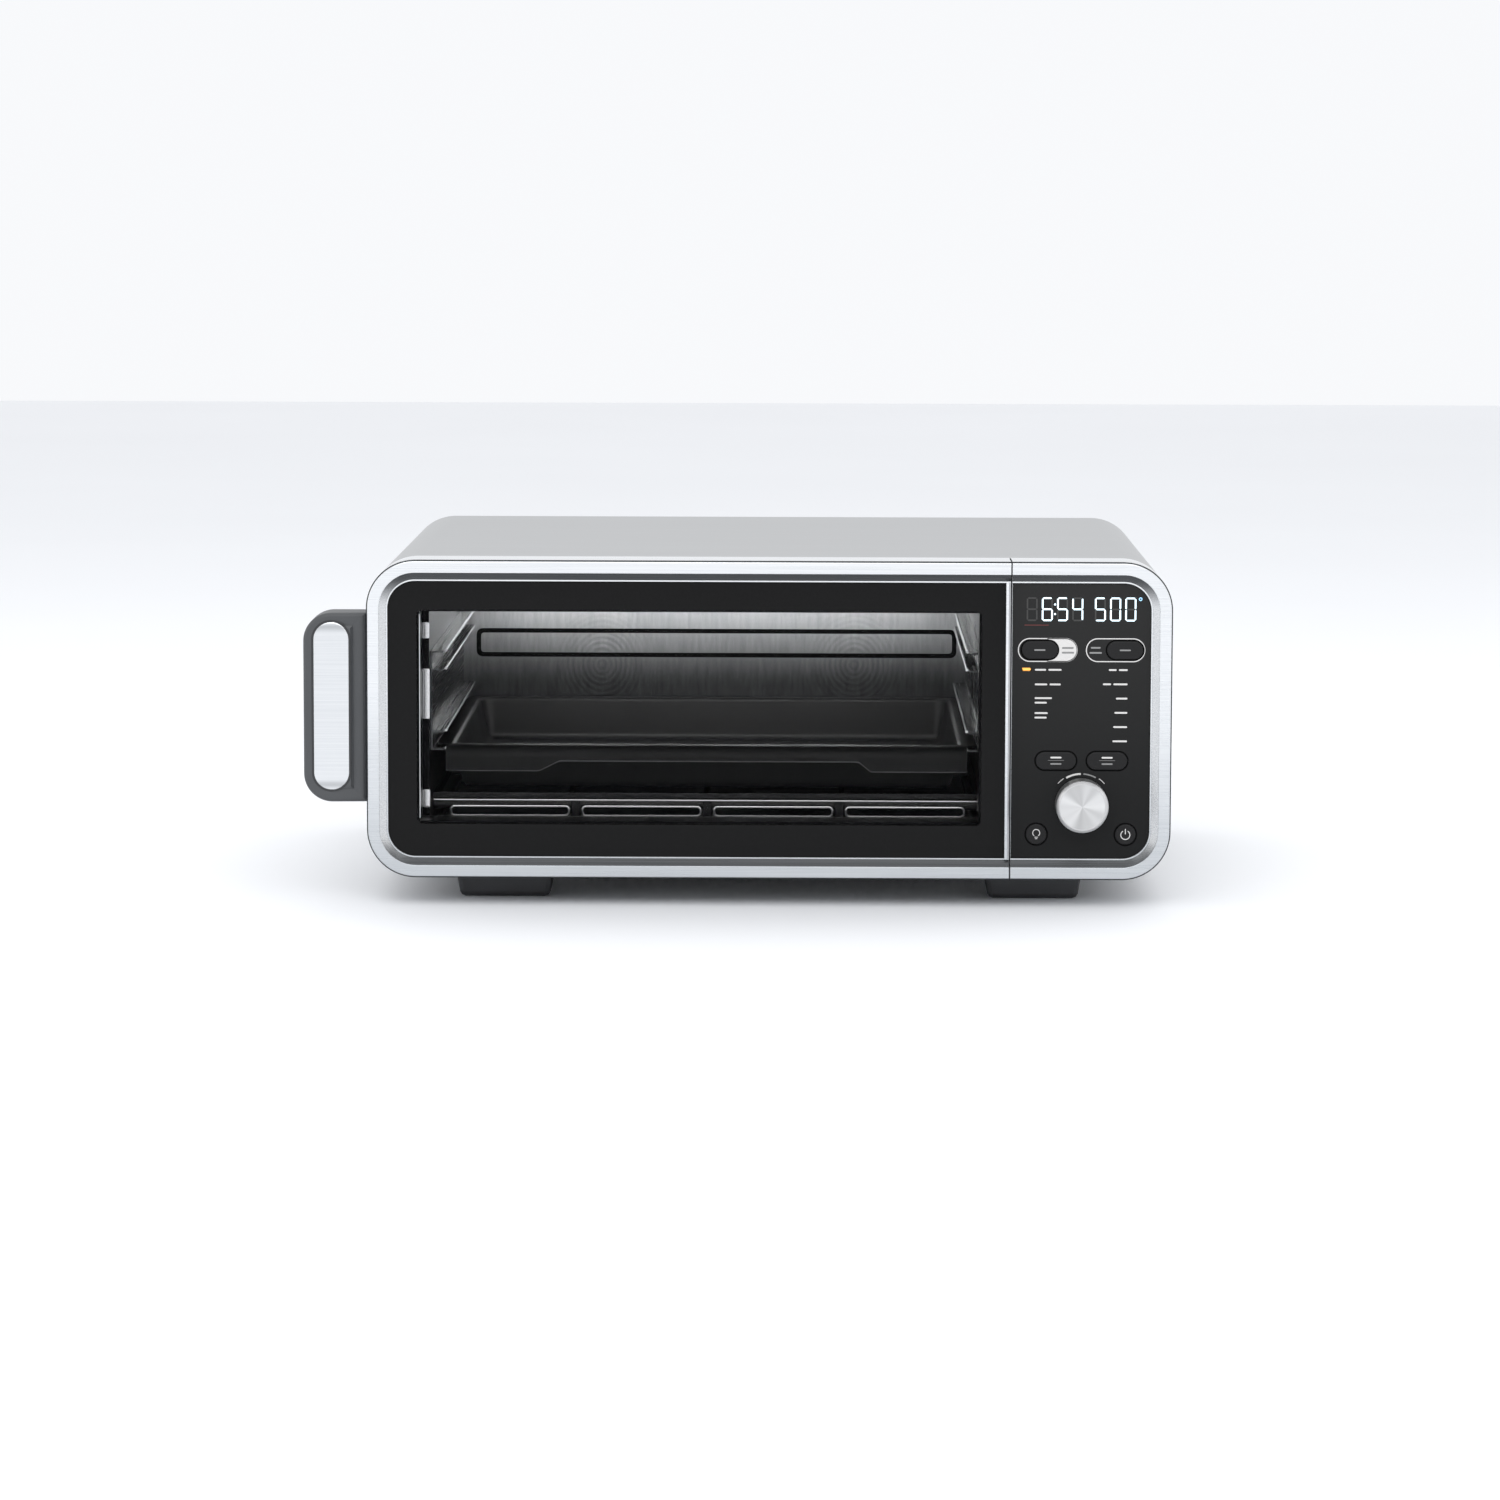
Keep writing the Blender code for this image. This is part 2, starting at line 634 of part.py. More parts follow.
def hinge_edge():
    """Chamfer along the door's lower back edge, which swings past the body."""
    shape = bmesh.new()
    made = cuboid(shape, (-LONG, LONG), (-HINGE_CHAMFER, HINGE_CHAMFER), (-HINGE_CHAMFER, HINGE_CHAMFER))
    corner = Vector((0, FRONT_Y + MODULE_DEPTH, BODY_BOTTOM))
    bmesh.ops.translate(shape, vec=(-BODY_X, -FRONT_Y, 0), verts=made)
    bmesh.ops.rotate(shape, cent=(0, 0, 0), matrix=Matrix.Rotation(math.radians(45), 3, "X"), verts=made)
    away = Vector((0, 1, -1)).normalized() * (HINGE_CHAMFER - HINGE_CHAMFER / math.sqrt(2))
    bmesh.ops.translate(shape, vec=corner + away, verts=made)
    return cutter(add("hinge_edge", shape, CUTTERS))


def door_panes():
    """Black-bordered outer glass behind the lip, and the inner pane in the window tunnel."""
    xs = (-HALF + RIM - GLASS_OVERLAP, DOOR_RIGHT - MODULE_WALL - GAP)
    zs = (BODY_BOTTOM + RIM - GLASS_OVERLAP, BODY_TOP - RIM + GLASS_OVERLAP)
    radius = CORNER_RADIUS - RIM + GLASS_OVERLAP
    outer = rounded("door_outer_glass", xs, (GLASS_FRONT, GLASS_BACK), zs, radius, "left")
    finish(outer, "door_outer_glass", GLASS)
    wx, wz = window_span()
    inset = TUNNEL_WALL + GAP
    inner_x = (wx[0] + inset, wx[1] - inset)
    inner_z = (wz[0] + inset, wz[1] - inset)
    span = (INNER_GLASS_DEPTH, INNER_GLASS_DEPTH + INNER_GLASS_THICKNESS)
    finish(block("door_inner_glass", inner_x, span, inner_z), "door_inner_glass", CLEAR)


def window_span():
    left = -HALF + RIM + WINDOW_LEFT
    right = DOOR_RIGHT - EDGE_STRIP - WINDOW_RIGHT
    return (left, right), (BODY_BOTTOM + RIM + WINDOW_BOTTOM, BODY_TOP - RIM - WINDOW_TOP)


def door_inner_frame():
    """Pressed inner sheet of the door with the window tunnel that stands on the outer glass."""
    inset = MODULE_WALL + GAP
    xs = (-HALF + inset, DOOR_RIGHT - inset)
    zs = (BODY_BOTTOM + inset, BODY_TOP - inset)
    back = MODULE_DEPTH - INNER_SETBACK
    sheet = rounded("door_inner_frame", xs, (back - INNER_SHEET, back), zs, CORNER_RADIUS - inset, "left")
    wx, wz = window_span()
    tunnel = block("tunnel", wx, (GLASS_BACK + GAP, back - INNER_SHEET / 2), wz, CUTTERS)
    inner_x = (wx[0] + TUNNEL_WALL, wx[1] - TUNNEL_WALL)
    inner_z = (wz[0] + TUNNEL_WALL, wz[1] - TUNNEL_WALL)
    way = block("tunnel_way", inner_x, (GLASS_BACK - OVER, back + OVER), inner_z, CUTTERS)
    join(sheet, tunnel)
    cut(sheet, way, *hinge_notches(), hinge_edge())
    return finish(sheet, "door_inner_frame", LINER)


def door_handle():
    """Side handle: a D-shaped paddle with a finger channel behind it and a capsule inlay on its face."""
    right = -HALF - GAP
    xs = (-HALF - HANDLE_REACH, right)
    zs = (BODY_BOTTOM + HANDLE_BOTTOM, BODY_BOTTOM + HANDLE_BOTTOM + HANDLE_HEIGHT)
    span = (HANDLE_SETBACK, HANDLE_SETBACK + HANDLE_DEPTH)
    grip = rounded("door_handle", xs, span, zs, HANDLE_CORNER, "left")
    channel_x = (xs[0] + HANDLE_SIDE_WALL, right - HANDLE_SIDE_WALL)
    channel_z = (zs[0] + HANDLE_SIDE_WALL, zs[1] - HANDLE_SIDE_WALL)
    deep = (span[0] + HANDLE_FRONT_WALL, span[1] + OVER)
    radius = HANDLE_CORNER - HANDLE_SIDE_WALL
    channel = rounded("finger_channel", channel_x, deep, channel_z, radius, "left", CUTTERS)
    inlay_x, inlay_z = inlay_span()
    seat_x = (inlay_x[0] - GAP, inlay_x[1] + GAP)
    seat_z = (inlay_z[0] - GAP, inlay_z[1] + GAP)
    seat_d = (span[0] - OVER, span[0] + INLAY_THICKNESS + GAP)
    end_radius = FULL_ROUND * INLAY_WIDTH / 2
    seat = rounded("inlay_seat", seat_x, seat_d, seat_z, end_radius + GAP, group=CUTTERS)
    finish(cut(grip, channel, seat), "door_handle", PLASTIC)
    face = (span[0], span[0] + INLAY_THICKNESS)
    inlay = rounded("handle_inlay", inlay_x, face, inlay_z, end_radius)
    finish(inlay, "handle_inlay", STEEL)


def inlay_span():
    left = -HALF - HANDLE_REACH + INLAY_OFFSET
    middle = BODY_BOTTOM + HANDLE_BOTTOM + HANDLE_HEIGHT / 2 + INLAY_LIFT
    return (left, left + INLAY_WIDTH), (middle - INLAY_HEIGHT / 2, middle + INLAY_HEIGHT / 2)


def hinges():
    """Fixed arms that reach forward from the base to the door's axis, and the pins held in the door."""
    for x, side in zip(HINGE_ARMS, ("left", "right")):
        half = HINGE_ARM_THICKNESS / 2
        front = HINGE_DEPTH - HINGE_ARM_HALF_HEIGHT
        heights = (HINGE_Z - HINGE_ARM_HALF_HEIGHT, HINGE_Z + HINGE_ARM_HALF_HEIGHT)
        end = front + HINGE_ARM_LENGTH
        arm = block(f"hinge_bracket_{side}", (x - half, x + half), (front, end), heights)
        low = BODY_BOTTOM + WRAP_SHEET + BASE_SHEET + 2 * GAP
        foot_x = (x - ARM_FOOT_HALF, x + ARM_FOOT_HALF)
        foot_d = (end - ARM_FOOT_LENGTH, end - OVER / 2)
        foot = block("arm_foot", foot_x, foot_d, (low, low + ARM_FOOT_SHEET), CUTTERS)
        pivot = (x, HINGE_DEPTH, HINGE_Z)
        bore = hole(HINGE_PIN_RADIUS + GAP, pivot, 5 * HINGE_ARM_THICKNESS, "X")
        finish(cut(join(arm, foot), bore), f"hinge_bracket_{side}", LINER)
        length = HINGE_PIN_LENGTH / 2
        profile = rod_profile(HINGE_PIN_RADIUS, length, -length)
        finish(turned(f"hinge_pin_{side}", profile, pivot, "X", PIN_STEPS), f"hinge_pin_{side}", BRIGHT)


def panel_housing():
    """Rim and body of the control panel: the same section as the door's rim on three sides."""
    xs = (PANEL_LEFT, HALF)
    zs = (BODY_BOTTOM, BODY_TOP)
    frame = rounded("panel_housing", xs, (0, MODULE_DEPTH), zs, CORNER_RADIUS, "right")
    opening_x = (xs[0] - OVER, xs[1] - RIM)
    opening_z = (zs[0] + RIM, zs[1] - RIM)
    through = (-OVER, FASCIA_BACK + GAP)
    opening = rounded("panel_opening", opening_x, through, opening_z, OPENING_RADIUS, "right", CUTTERS)
    slope = rim_slope("panel_slope", opening_x, opening_z, "right")
    edge_x = (xs[0] - OVER, xs[0] + MODULE_WALL + OVER)
    edge_z = (zs[0] + MODULE_WALL, zs[1] - MODULE_WALL)
    edge = block("fascia_edge", edge_x, (LIP_THICKNESS, FASCIA_BACK + GAP), edge_z, CUTTERS)
    cut(frame, opening, module_pocket(xs, "right"), slope, edge)
    return finish(frame, "panel_housing", BRIGHT)


def pill(name, size, x, z, span, group=None, play=0.0):
    """An upright slab with round ends, lying along X."""
    half_w, half_h = size[0] / 2 + play, size[1] / 2 + play
    across, up = (x - half_w, x + half_w), (z - half_h, z + half_h)
    return rounded(name, across, span, up, FULL_ROUND * half_h, group=group, steps=PILL_STEPS)


def button_places():
    """Name, outline and middle of each push button."""
    places = [
        ("mode_button_left", MODE_BUTTON, -MODE_X, MODE_Z),
        ("mode_button_right", MODE_BUTTON, MODE_X, MODE_Z),
        ("time_button", SET_BUTTON, -SET_X, SET_Z),
        ("temperature_button", SET_BUTTON, SET_X, SET_Z),
        ("light_button", (2 * ROUND_BUTTON, 2 * ROUND_BUTTON), -ROUND_X, ROUND_Z),
        ("power_button", (2 * ROUND_BUTTON, 2 * ROUND_BUTTON), ROUND_X, ROUND_Z),
    ]
    return [(name, size, PANEL_MIDDLE + x, z) for name, size, x, z in places]


def panel_fascia():
    """Black front plate of the control panel, pierced for the buttons, the shaft and the light."""
    xs = (PANEL_LEFT + GAP, HALF - RIM + GLASS_OVERLAP)
    zs = (BODY_BOTTOM + RIM - GLASS_OVERLAP, BODY_TOP - RIM + GLASS_OVERLAP)
    radius = CORNER_RADIUS - RIM + GLASS_OVERLAP
    plate = rounded("panel_fascia", xs, (FASCIA_FRONT, FASCIA_BACK), zs, radius, "right")
    deep = (FASCIA_FRONT - OVER, FASCIA_BACK + OVER)
    cuts = []
    for _, size, x, z in button_places():
        cuts.append(pill("button_hole", size, x, z, deep, CUTTERS, BUTTON_PLAY))
    cuts.append(hole(SHAFT_RADIUS + SHAFT_PLAY, (PANEL_MIDDLE, FASCIA_FRONT, KNOB_Z), MODULE_DEPTH / 2))
    cuts.append(block("led_slot", *led_span(GAP), CUTTERS))
    return finish(cut(plate, *cuts), "panel_fascia", BLACK)


def led_span(play=0.0):
    x = PANEL_MIDDLE + LED_X
    half_w, half_h = LED_SIZE[0] / 2 + play, LED_SIZE[1] / 2 + play
    reach = OVER if play else 0.0
    span = (FASCIA_FRONT - reach, FASCIA_BACK + LED_TAIL + reach)
    return (x - half_w, x + half_w), span, (LED_Z - half_h, LED_Z + half_h)


def push_buttons():
    """Six caps with a retaining flange behind the fascia and a stem towards the control board."""
    flange_d = (FASCIA_BACK + GAP, FASCIA_BACK + GAP + BUTTON_FLANGE)
    stem_d = (FASCIA_FRONT + FASCIA_THICKNESS / 2, BOARD_DEPTH - BUTTON_TRAVEL - SWITCH_HEIGHT)
    half = STEM_HALF
    for name, size, x, z in button_places():
        cap = pill(name, size, x, z, (FASCIA_FRONT - BUTTON_PROUD, flange_d[0] + BUTTON_FLANGE / 2))
        flange = pill("flange", size, x, z, flange_d, CUTTERS, FLANGE_REACH)
        stem = block("stem", (x - half, x + half), stem_d, (z - half, z + half), CUTTERS)
        finish(set_origin(join(cap, flange, stem), x, FASCIA_FRONT, z), name, BLACK)


def selector_knob():
    """Turn-and-push knob, the shaft it is pressed on, and the fixed encoder on the control board."""
    place = (PANEL_MIDDLE, 0, KNOB_Z)
    back = FASCIA_FRONT - KNOB_LIFT
    bore = SHAFT_RADIUS + GAP
    floor = KNOB_PROUD - KNOB_DISH
    bore_end = KNOB_PROUD - KNOB_FACE
    profile = [(0, floor), (KNOB_RADIUS * 0.80, floor), (KNOB_RADIUS * 0.84, KNOB_PROUD)]
    profile += [(KNOB_RADIUS - KNOB_EDGE, KNOB_PROUD), (KNOB_RADIUS, KNOB_PROUD - KNOB_EDGE)]
    profile += [(KNOB_RADIUS, -back), (bore, -back), (bore, bore_end), (0, bore_end)]
    finish(turned("knob", profile, place, steps=KNOB_STEPS), "knob", ALUMINIUM)
    shaft = rod_profile(SHAFT_RADIUS, bore_end - GAP, -(BOARD_DEPTH - BUTTON_TRAVEL - GAP))
    finish(turned("encoder_shaft", shaft, place, steps=PIN_STEPS), "encoder_shaft", BRIGHT)
    xs = (PANEL_MIDDLE - ENCODER_HALF, PANEL_MIDDLE + ENCODER_HALF)
    zs = (KNOB_Z - ENCODER_HALF, KNOB_Z + ENCODER_HALF)
    body = block("encoder_body", xs, (BOARD_DEPTH - GAP - ENCODER_HALF, BOARD_DEPTH - GAP), zs)
    way = hole(SHAFT_RADIUS + GAP, (PANEL_MIDDLE, BOARD_DEPTH, KNOB_Z), MODULE_DEPTH)
    finish(cut(body, way), "encoder_body", LINER)


def panel_electronics():
    """Display module, mode light and control board behind the fascia, and the power board inboard."""
    xs = (PANEL_LEFT + BOARD_INSET, HALF - RIM - DISPLAY_INSET)
    top = BODY_TOP - RIM - DISPLAY_INSET
    display_d = (FASCIA_BACK + GAP, FASCIA_BACK + GAP + DISPLAY_THICKNESS)
    finish(block("display_module", xs, display_d, (top - DISPLAY_HEIGHT, top)), "display_module", BLACK)
    finish(block("mode_light", *led_span()), "mode_light", AMBER)
    board_z = (BODY_BOTTOM + RIM, BODY_TOP - RIM - BOARD_INSET)
    board = block("control_board", xs, (BOARD_DEPTH, BOARD_DEPTH + BOARD_SHEET), board_z)
    finish(board, "control_board", BOARD)
    face = HALF - POWER_BOARD_INSET
    heights = (BODY_BOTTOM + POWER_BOARD_RISE[0], BODY_BOTTOM + POWER_BOARD_RISE[1])
    power = block("power_board", (face, face + BOARD_SHEET), POWER_BOARD_SPAN, heights)
    for reach, span, rise in (RELAY, FILTER_COIL):
        heights = (BODY_BOTTOM + rise[0], BODY_BOTTOM + rise[1])
        join(power, block("component", (face - reach, face + BOARD_SHEET / 2), span, heights, CUTTERS))
    finish(power, "power_board", BOARD)


def cavity_walls():
    """Five liner sheets: sides, ceiling, floor and a back with a pressed rectangular groove."""
    sheet = CAVITY_SHEET
    depth = (CAVITY_FRONT, CAVITY_BACK)
    sides = (CAVITY_FLOOR + GAP, CAVITY_CEILING - GAP)
    left = block("cavity_left_wall", (-CAVITY_LEFT - sheet, -CAVITY_LEFT), depth, sides)
    right = block("cavity_right_wall", (CAVITY_RIGHT, CAVITY_RIGHT + sheet), depth, sides)
    finish(cut(left, *heater_holes()), "cavity_left_wall", LINER)
    finish(cut(right, *heater_holes(), *right_wall_holes()), "cavity_right_wall", LINER)
    across = (-CAVITY_LEFT - sheet, CAVITY_RIGHT + sheet)
    ceiling = block("cavity_ceiling", across, depth, (CAVITY_CEILING, CAVITY_CEILING + sheet))
    finish(ceiling, "cavity_ceiling", LINER)
    floor = block("cavity_floor", across, depth, (CAVITY_FLOOR - sheet, CAVITY_FLOOR))
    finish(floor, "cavity_floor", LINER)
    back_d = (CAVITY_BACK + GAP, CAVITY_BACK + GAP + sheet)
    back = block("cavity_back_wall", across, back_d, (CAVITY_FLOOR - sheet, CAVITY_CEILING + sheet))
    groove_x = (GROOVE_MARGINS[0] - CAVITY_LEFT, CAVITY_RIGHT - GROOVE_MARGINS[1])
    top = CAVITY_CEILING - GROOVE_DROP
    groove_z = (top - GROOVE_HEIGHT, top)
    ring_d = (back_d[0] - OVER, back_d[0] + sheet / 2)
    ring = rounded("groove", groove_x, ring_d, groove_z, GROOVE_CORNER, group=CUTTERS, steps=3)
    core_x = (groove_x[0] + GROOVE_LINE, groove_x[1] - GROOVE_LINE)
    core_z = (groove_z[0] + GROOVE_LINE, groove_z[1] - GROOVE_LINE)
    core_d = (back_d[0], back_d[1] - sheet / 4)
    core = rounded("core", core_x, core_d, core_z, GROOVE_CORNER / 2, group=CUTTERS, steps=3)
    probe_hole = hole(PROBE_RADIUS + GAP, (PROBE_X, CAVITY_BACK, PROBE_Z), 10 * sheet)
    finish(cut(join(cut(back, ring), core), probe_hole), "cavity_back_wall", LINER)


def heater_holes():
    radius = HEATER_RADIUS + GAP
    return [hole(radius, (CAVITY_MIDDLE, d, z), BODY_WIDTH, "X") for _, d, z in heater_places()]


def heater_places():
    low = CAVITY_FLOOR + HEATER_LOWER_RISE
    high = CAVITY_CEILING - HEATER_UPPER_DROP
    return [
        ("heater_lower_front", HEATER_FRONT, low),
        ("heater_lower_rear", HEATER_REAR, low),
        ("heater_upper_front", HEATER_FRONT, high),
        ("heater_upper_rear", HEATER_REAR, high),
    ]


def right_wall_holes():
    """Air slots in front of the fan, and the lamp's opening."""
    through = (CAVITY_RIGHT - OVER, CAVITY_RIGHT + CAVITY_SHEET + OVER)
    spans = []
    for i in range(-3, 4):
        offset = i * FAN_SLOT_PITCH
        half = math.sqrt((FAN_RADIUS * 0.9) ** 2 - offset ** 2)
        d = FAN_DEPTH + offset
        slot = (d - VENT_SLOT / 2, d + VENT_SLOT / 2)
        spans.append((through, slot, (FAN_HEIGHT - half, FAN_HEIGHT + half)))
    vents = blocks("fan_slots", spans, CUTTERS)
    lamp_place = (CAVITY_RIGHT, LAMP_DEPTH, LAMP_HEIGHT)
    return [vents, hole(LAMP_RADIUS - LAMP_SEAT, lamp_place, LAMP_RADIUS, "X")]


def rack_guides():
    """Pressed side guides, each with two channels that take the edge of a pan or a rack."""
    low = CAVITY_FLOOR + RAIL_LOWER
    high = low + RAIL_PITCH + RAIL_CHANNEL + 2 * RAIL_SHEET
    span = (CAVITY_FRONT + RAIL_FRONT_GAP, CAVITY_BACK - RAIL_BACK_GAP)
    deep = (span[0] - OVER, span[1] + OVER)
    between = (low + RAIL_CHANNEL + 2 * RAIL_SHEET, low + RAIL_PITCH)
    for side, wall, name in ((1, -CAVITY_LEFT, "rack_guide_left"), (-1, CAVITY_RIGHT, "rack_guide_right")):
        near, far = wall + side * GAP, wall + side * RAIL_REACH
        web = near + side * RAIL_SHEET
        guide = block(name, sorted((near, far)), span, (low, high))
        open_x = sorted((web, far + side * OVER))
        spans = [(open_x, deep, between)]
        for level in (low, low + RAIL_PITCH):
            spans.append((open_x, deep, (level + RAIL_SHEET, level + RAIL_SHEET + RAIL_CHANNEL)))
        cuts = [blocks("channels", spans, CUTTERS)]
        if side < 0:
            window = (FAN_DEPTH - AIR_WINDOW / 2, FAN_DEPTH + AIR_WINDOW / 2)
            middle_z = (between[0] + OVER, between[1] - OVER)
            wall_x = sorted((near - side * OVER, far))
            cuts.append(block("air_window", wall_x, window, middle_z, CUTTERS))
        finish(cut(guide, *cuts), name, LINER)


def heaters():
    """Four straight sheathed elements carried in the side walls, and the guard over the lower pair."""
    reach = (CAVITY_LEFT + CAVITY_RIGHT) / 2 + HEATER_OVERHANG
    profile = rod_profile(HEATER_RADIUS, reach, -reach)
    for name, d, z in heater_places():
        finish(turned(name, profile, (CAVITY_MIDDLE, d, z), "X", PIN_STEPS), name, HEATER)
    low = CAVITY_FLOOR + GUARD_RISE
    heights = (low, low + GUARD_BAR)
    left, right = -CAVITY_LEFT + GUARD_SIDE_GAP, CAVITY_RIGHT - GUARD_SIDE_GAP
    outline = block("element_guard", (left, right), (GUARD_FRONT, GUARD_REAR), heights)
    count = GUARD_BRACKETS + 1
    pitch = (right - left - GUARD_BAR) / count
    spans = []
    inside = (GUARD_FRONT + GUARD_BAR, GUARD_REAR - GUARD_BAR)
    through = (low - OVER, low + GUARD_BAR + OVER)
    for i in range(count):
        start = left + GUARD_BAR + i * pitch
        spans.append(((start, start + pitch - GUARD_BAR), inside, through))
    finish(cut(outline, blocks("guard_cells", spans, CUTTERS)), "element_guard", LINER)


def sheet_pan():
    """Non-stick pan whose flange rides in the lower channels."""
    web = GAP + RAIL_SHEET + PAN_FLANGE_PLAY
    xs = (-CAVITY_LEFT + web, CAVITY_RIGHT - web)
    low = RAIL_TOP_LOWER + GAP
    span = (CAVITY_FRONT + PAN_FRONT_GAP, CAVITY_BACK - PAN_BACK_GAP)
    flange = block("sheet_pan", xs, span, (low, low + PAN_SHEET))
    basin_x = (xs[0] + PAN_FLANGE_WIDTH, xs[1] - PAN_FLANGE_WIDTH)
    basin_d = (span[0] + PAN_END_FLANGE, span[1] - PAN_END_FLANGE)
    basin_z = (low - PAN_DROP, low + PAN_SHEET / 2)
    basin = tapered("basin", basin_x, basin_d, basin_z, PAN_TAPER, CUTTERS)
    well_x = (basin_x[0] + PAN_SHEET, basin_x[1] - PAN_SHEET)
    well_d = (basin_d[0] + PAN_SHEET, basin_d[1] - PAN_SHEET)
    well_z = (basin_z[0] + PAN_SHEET, low + PAN_SHEET + OVER)
    well = tapered("well", well_x, well_d, well_z, PAN_TAPER, CUTTERS)
    return finish(cut(join(flange, basin), well), "sheet_pan", NONSTICK)


def tapered(name, xs, ds, zs, taper, group):
    """A cuboid whose bottom is smaller than its top by the taper on every side."""
    shape = bmesh.new()
    made = cuboid(shape, xs, ds, zs)
    middle_x = BODY_X + sum(xs) / 2
    middle_y = FRONT_Y + sum(ds) / 2
    for vertex in made:
        if vertex.co.z < sum(zs) / 2:
            vertex.co.x -= math.copysign(taper, vertex.co.x - middle_x)
            vertex.co.y -= math.copysign(taper, vertex.co.y - middle_y)
    return add(name, shape, group)


def crumb_tray():
    """Shallow tray that lies on the cavity floor under the lower elements."""
    xs = (-CAVITY_LEFT + TRAY_SIDE_GAP, CAVITY_RIGHT - TRAY_SIDE_GAP)
    low = CAVITY_FLOOR + GAP
    span = (CAVITY_FRONT + TRAY_FRONT_GAP, CAVITY_BACK - TRAY_BACK_GAP)
    tray = block("crumb_tray", xs, span, (low, low + TRAY_RIM))
    well_x = (xs[0] + TRAY_SHEET, xs[1] - TRAY_SHEET)
    well_d = (span[0] + TRAY_SHEET, span[1] - TRAY_SHEET)
    well = block("tray_well", well_x, well_d, (low + TRAY_SHEET, low + TRAY_RIM + OVER), CUTTERS)
    return finish(cut(tray, well), "crumb_tray", LINER)


def fan(name, place, axis, radius, width, hub_radius, bore, look):
    """Radial impeller: a bored hub, a back disc and straight blades."""
    rotor = turned(name, ring_profile(hub_radius, bore, width / 2, -width / 2), place, axis)
    disc_edge = ring_profile(radius * 0.98, bore + BLADE_SHEET, width / 2, width / 2 - BLADE_SHEET)
    disc = turned("fan_disc", disc_edge, place, axis, group=CUTTERS)
    shape = bmesh.new()
    for i in range(FAN_BLADES):
        made = bmesh.ops.create_cube(shape, size=1.0)["verts"]
        length = radius - hub_radius * 0.8
        bmesh.ops.scale(shape, vec=(length, BLADE_SHEET, width * 0.96), verts=made)
        bmesh.ops.translate(shape, vec=(hub_radius * 0.8 + length / 2, 0, 0), verts=made)
        turn = Matrix.Rotation(2 * math.pi * i / FAN_BLADES, 3, "Z")
        bmesh.ops.rotate(shape, cent=(0, 0, 0), matrix=turn, verts=made)
    blades = add("fan_blades", shape, CUTTERS)
    blades.location = rotor.location
    blades.rotation_euler = rotor.rotation_euler
    return finish(join(rotor, disc, blades), name, look)


def air_and_light():
    """Convection fan and motor beside the cavity, cooling fan at the back, lamp, cover and probe."""
    fan_x = CAVITY_RIGHT + CAVITY_SHEET + FAN_WALL_GAP + FAN_WIDTH / 2
    fan_place = (fan_x, FAN_DEPTH, FAN_HEIGHT)
    bore = FAN_SHAFT_RADIUS + GAP
    fan("convection_fan", fan_place, "X", FAN_RADIUS, FAN_WIDTH, FAN_HUB_RADIUS, bore, LINER)
    shield_x = CAVITY_RIGHT + SHIELD_OFFSET
    shield_d = (CAVITY_FRONT + SHIELD_FRONT_GAP, CAVITY_BACK + SHIELD_BACK_REACH)
    shield_z = (BODY_BOTTOM + SHIELD_FOOT, CAVITY_CEILING - SHIELD_TOP_GAP)
    shield = block("heat_shield", (shield_x, shield_x + CAVITY_SHEET), shield_d, shield_z)
    shaft_place = (shield_x, FAN_DEPTH, FAN_HEIGHT)
    shaft_hole = hole(FAN_SHAFT_RADIUS + SHAFT_PLAY, shaft_place, 10 * CAVITY_SHEET, "X")
    finish(cut(shield, shaft_hole), "heat_shield", LINER)
    start = shield_x + CAVITY_SHEET + GAP
    nose = start - fan_x + FAN_WIDTH / 2
    profile = [(0, MOTOR_LENGTH), (MOTOR_RADIUS, MOTOR_LENGTH), (MOTOR_RADIUS, 0)]
    profile += [(FAN_SHAFT_RADIUS, 0), (FAN_SHAFT_RADIUS, -nose), (0, -nose)]
    finish(turned("fan_motor", profile, (start, FAN_DEPTH, FAN_HEIGHT), "X"), "fan_motor", LINER)
    cooling_d = BODY_DEPTH - REAR_SHEET - COOLING_GAP - COOLING_WIDTH / 2
    place = (COOLING_X, cooling_d, COOLING_Z)
    bore = COOLING_SHAFT + GAP
    fan("cooling_fan", place, "Y", COOLING_RADIUS, COOLING_WIDTH, COOLING_HUB, bore, PLASTIC)
    finish(cooling_motor(place), "cooling_motor", LINER)
    lamp()
    probe = rod_profile(PROBE_RADIUS, PROBE_LENGTH - PROBE_TAIL, -PROBE_TAIL)
    place = (PROBE_X, CAVITY_BACK, PROBE_Z)
    finish(turned("temperature_probe", probe, place, steps=PIN_STEPS), "temperature_probe", BRIGHT)


def cooling_motor(place):
    """Small motor in front of the cooling fan, its shaft through the fan's bore."""
    radius, length = COOLING_MOTOR
    near = COOLING_WIDTH / 2 + SHAFT_PLAY
    tip = COOLING_WIDTH / 2 - SHAFT_PLAY
    profile = [(0, near + length), (radius, near + length), (radius, near)]
    profile += [(COOLING_SHAFT, near), (COOLING_SHAFT, -tip), (0, -tip)]
    return turned("cooling_motor", profile, place)


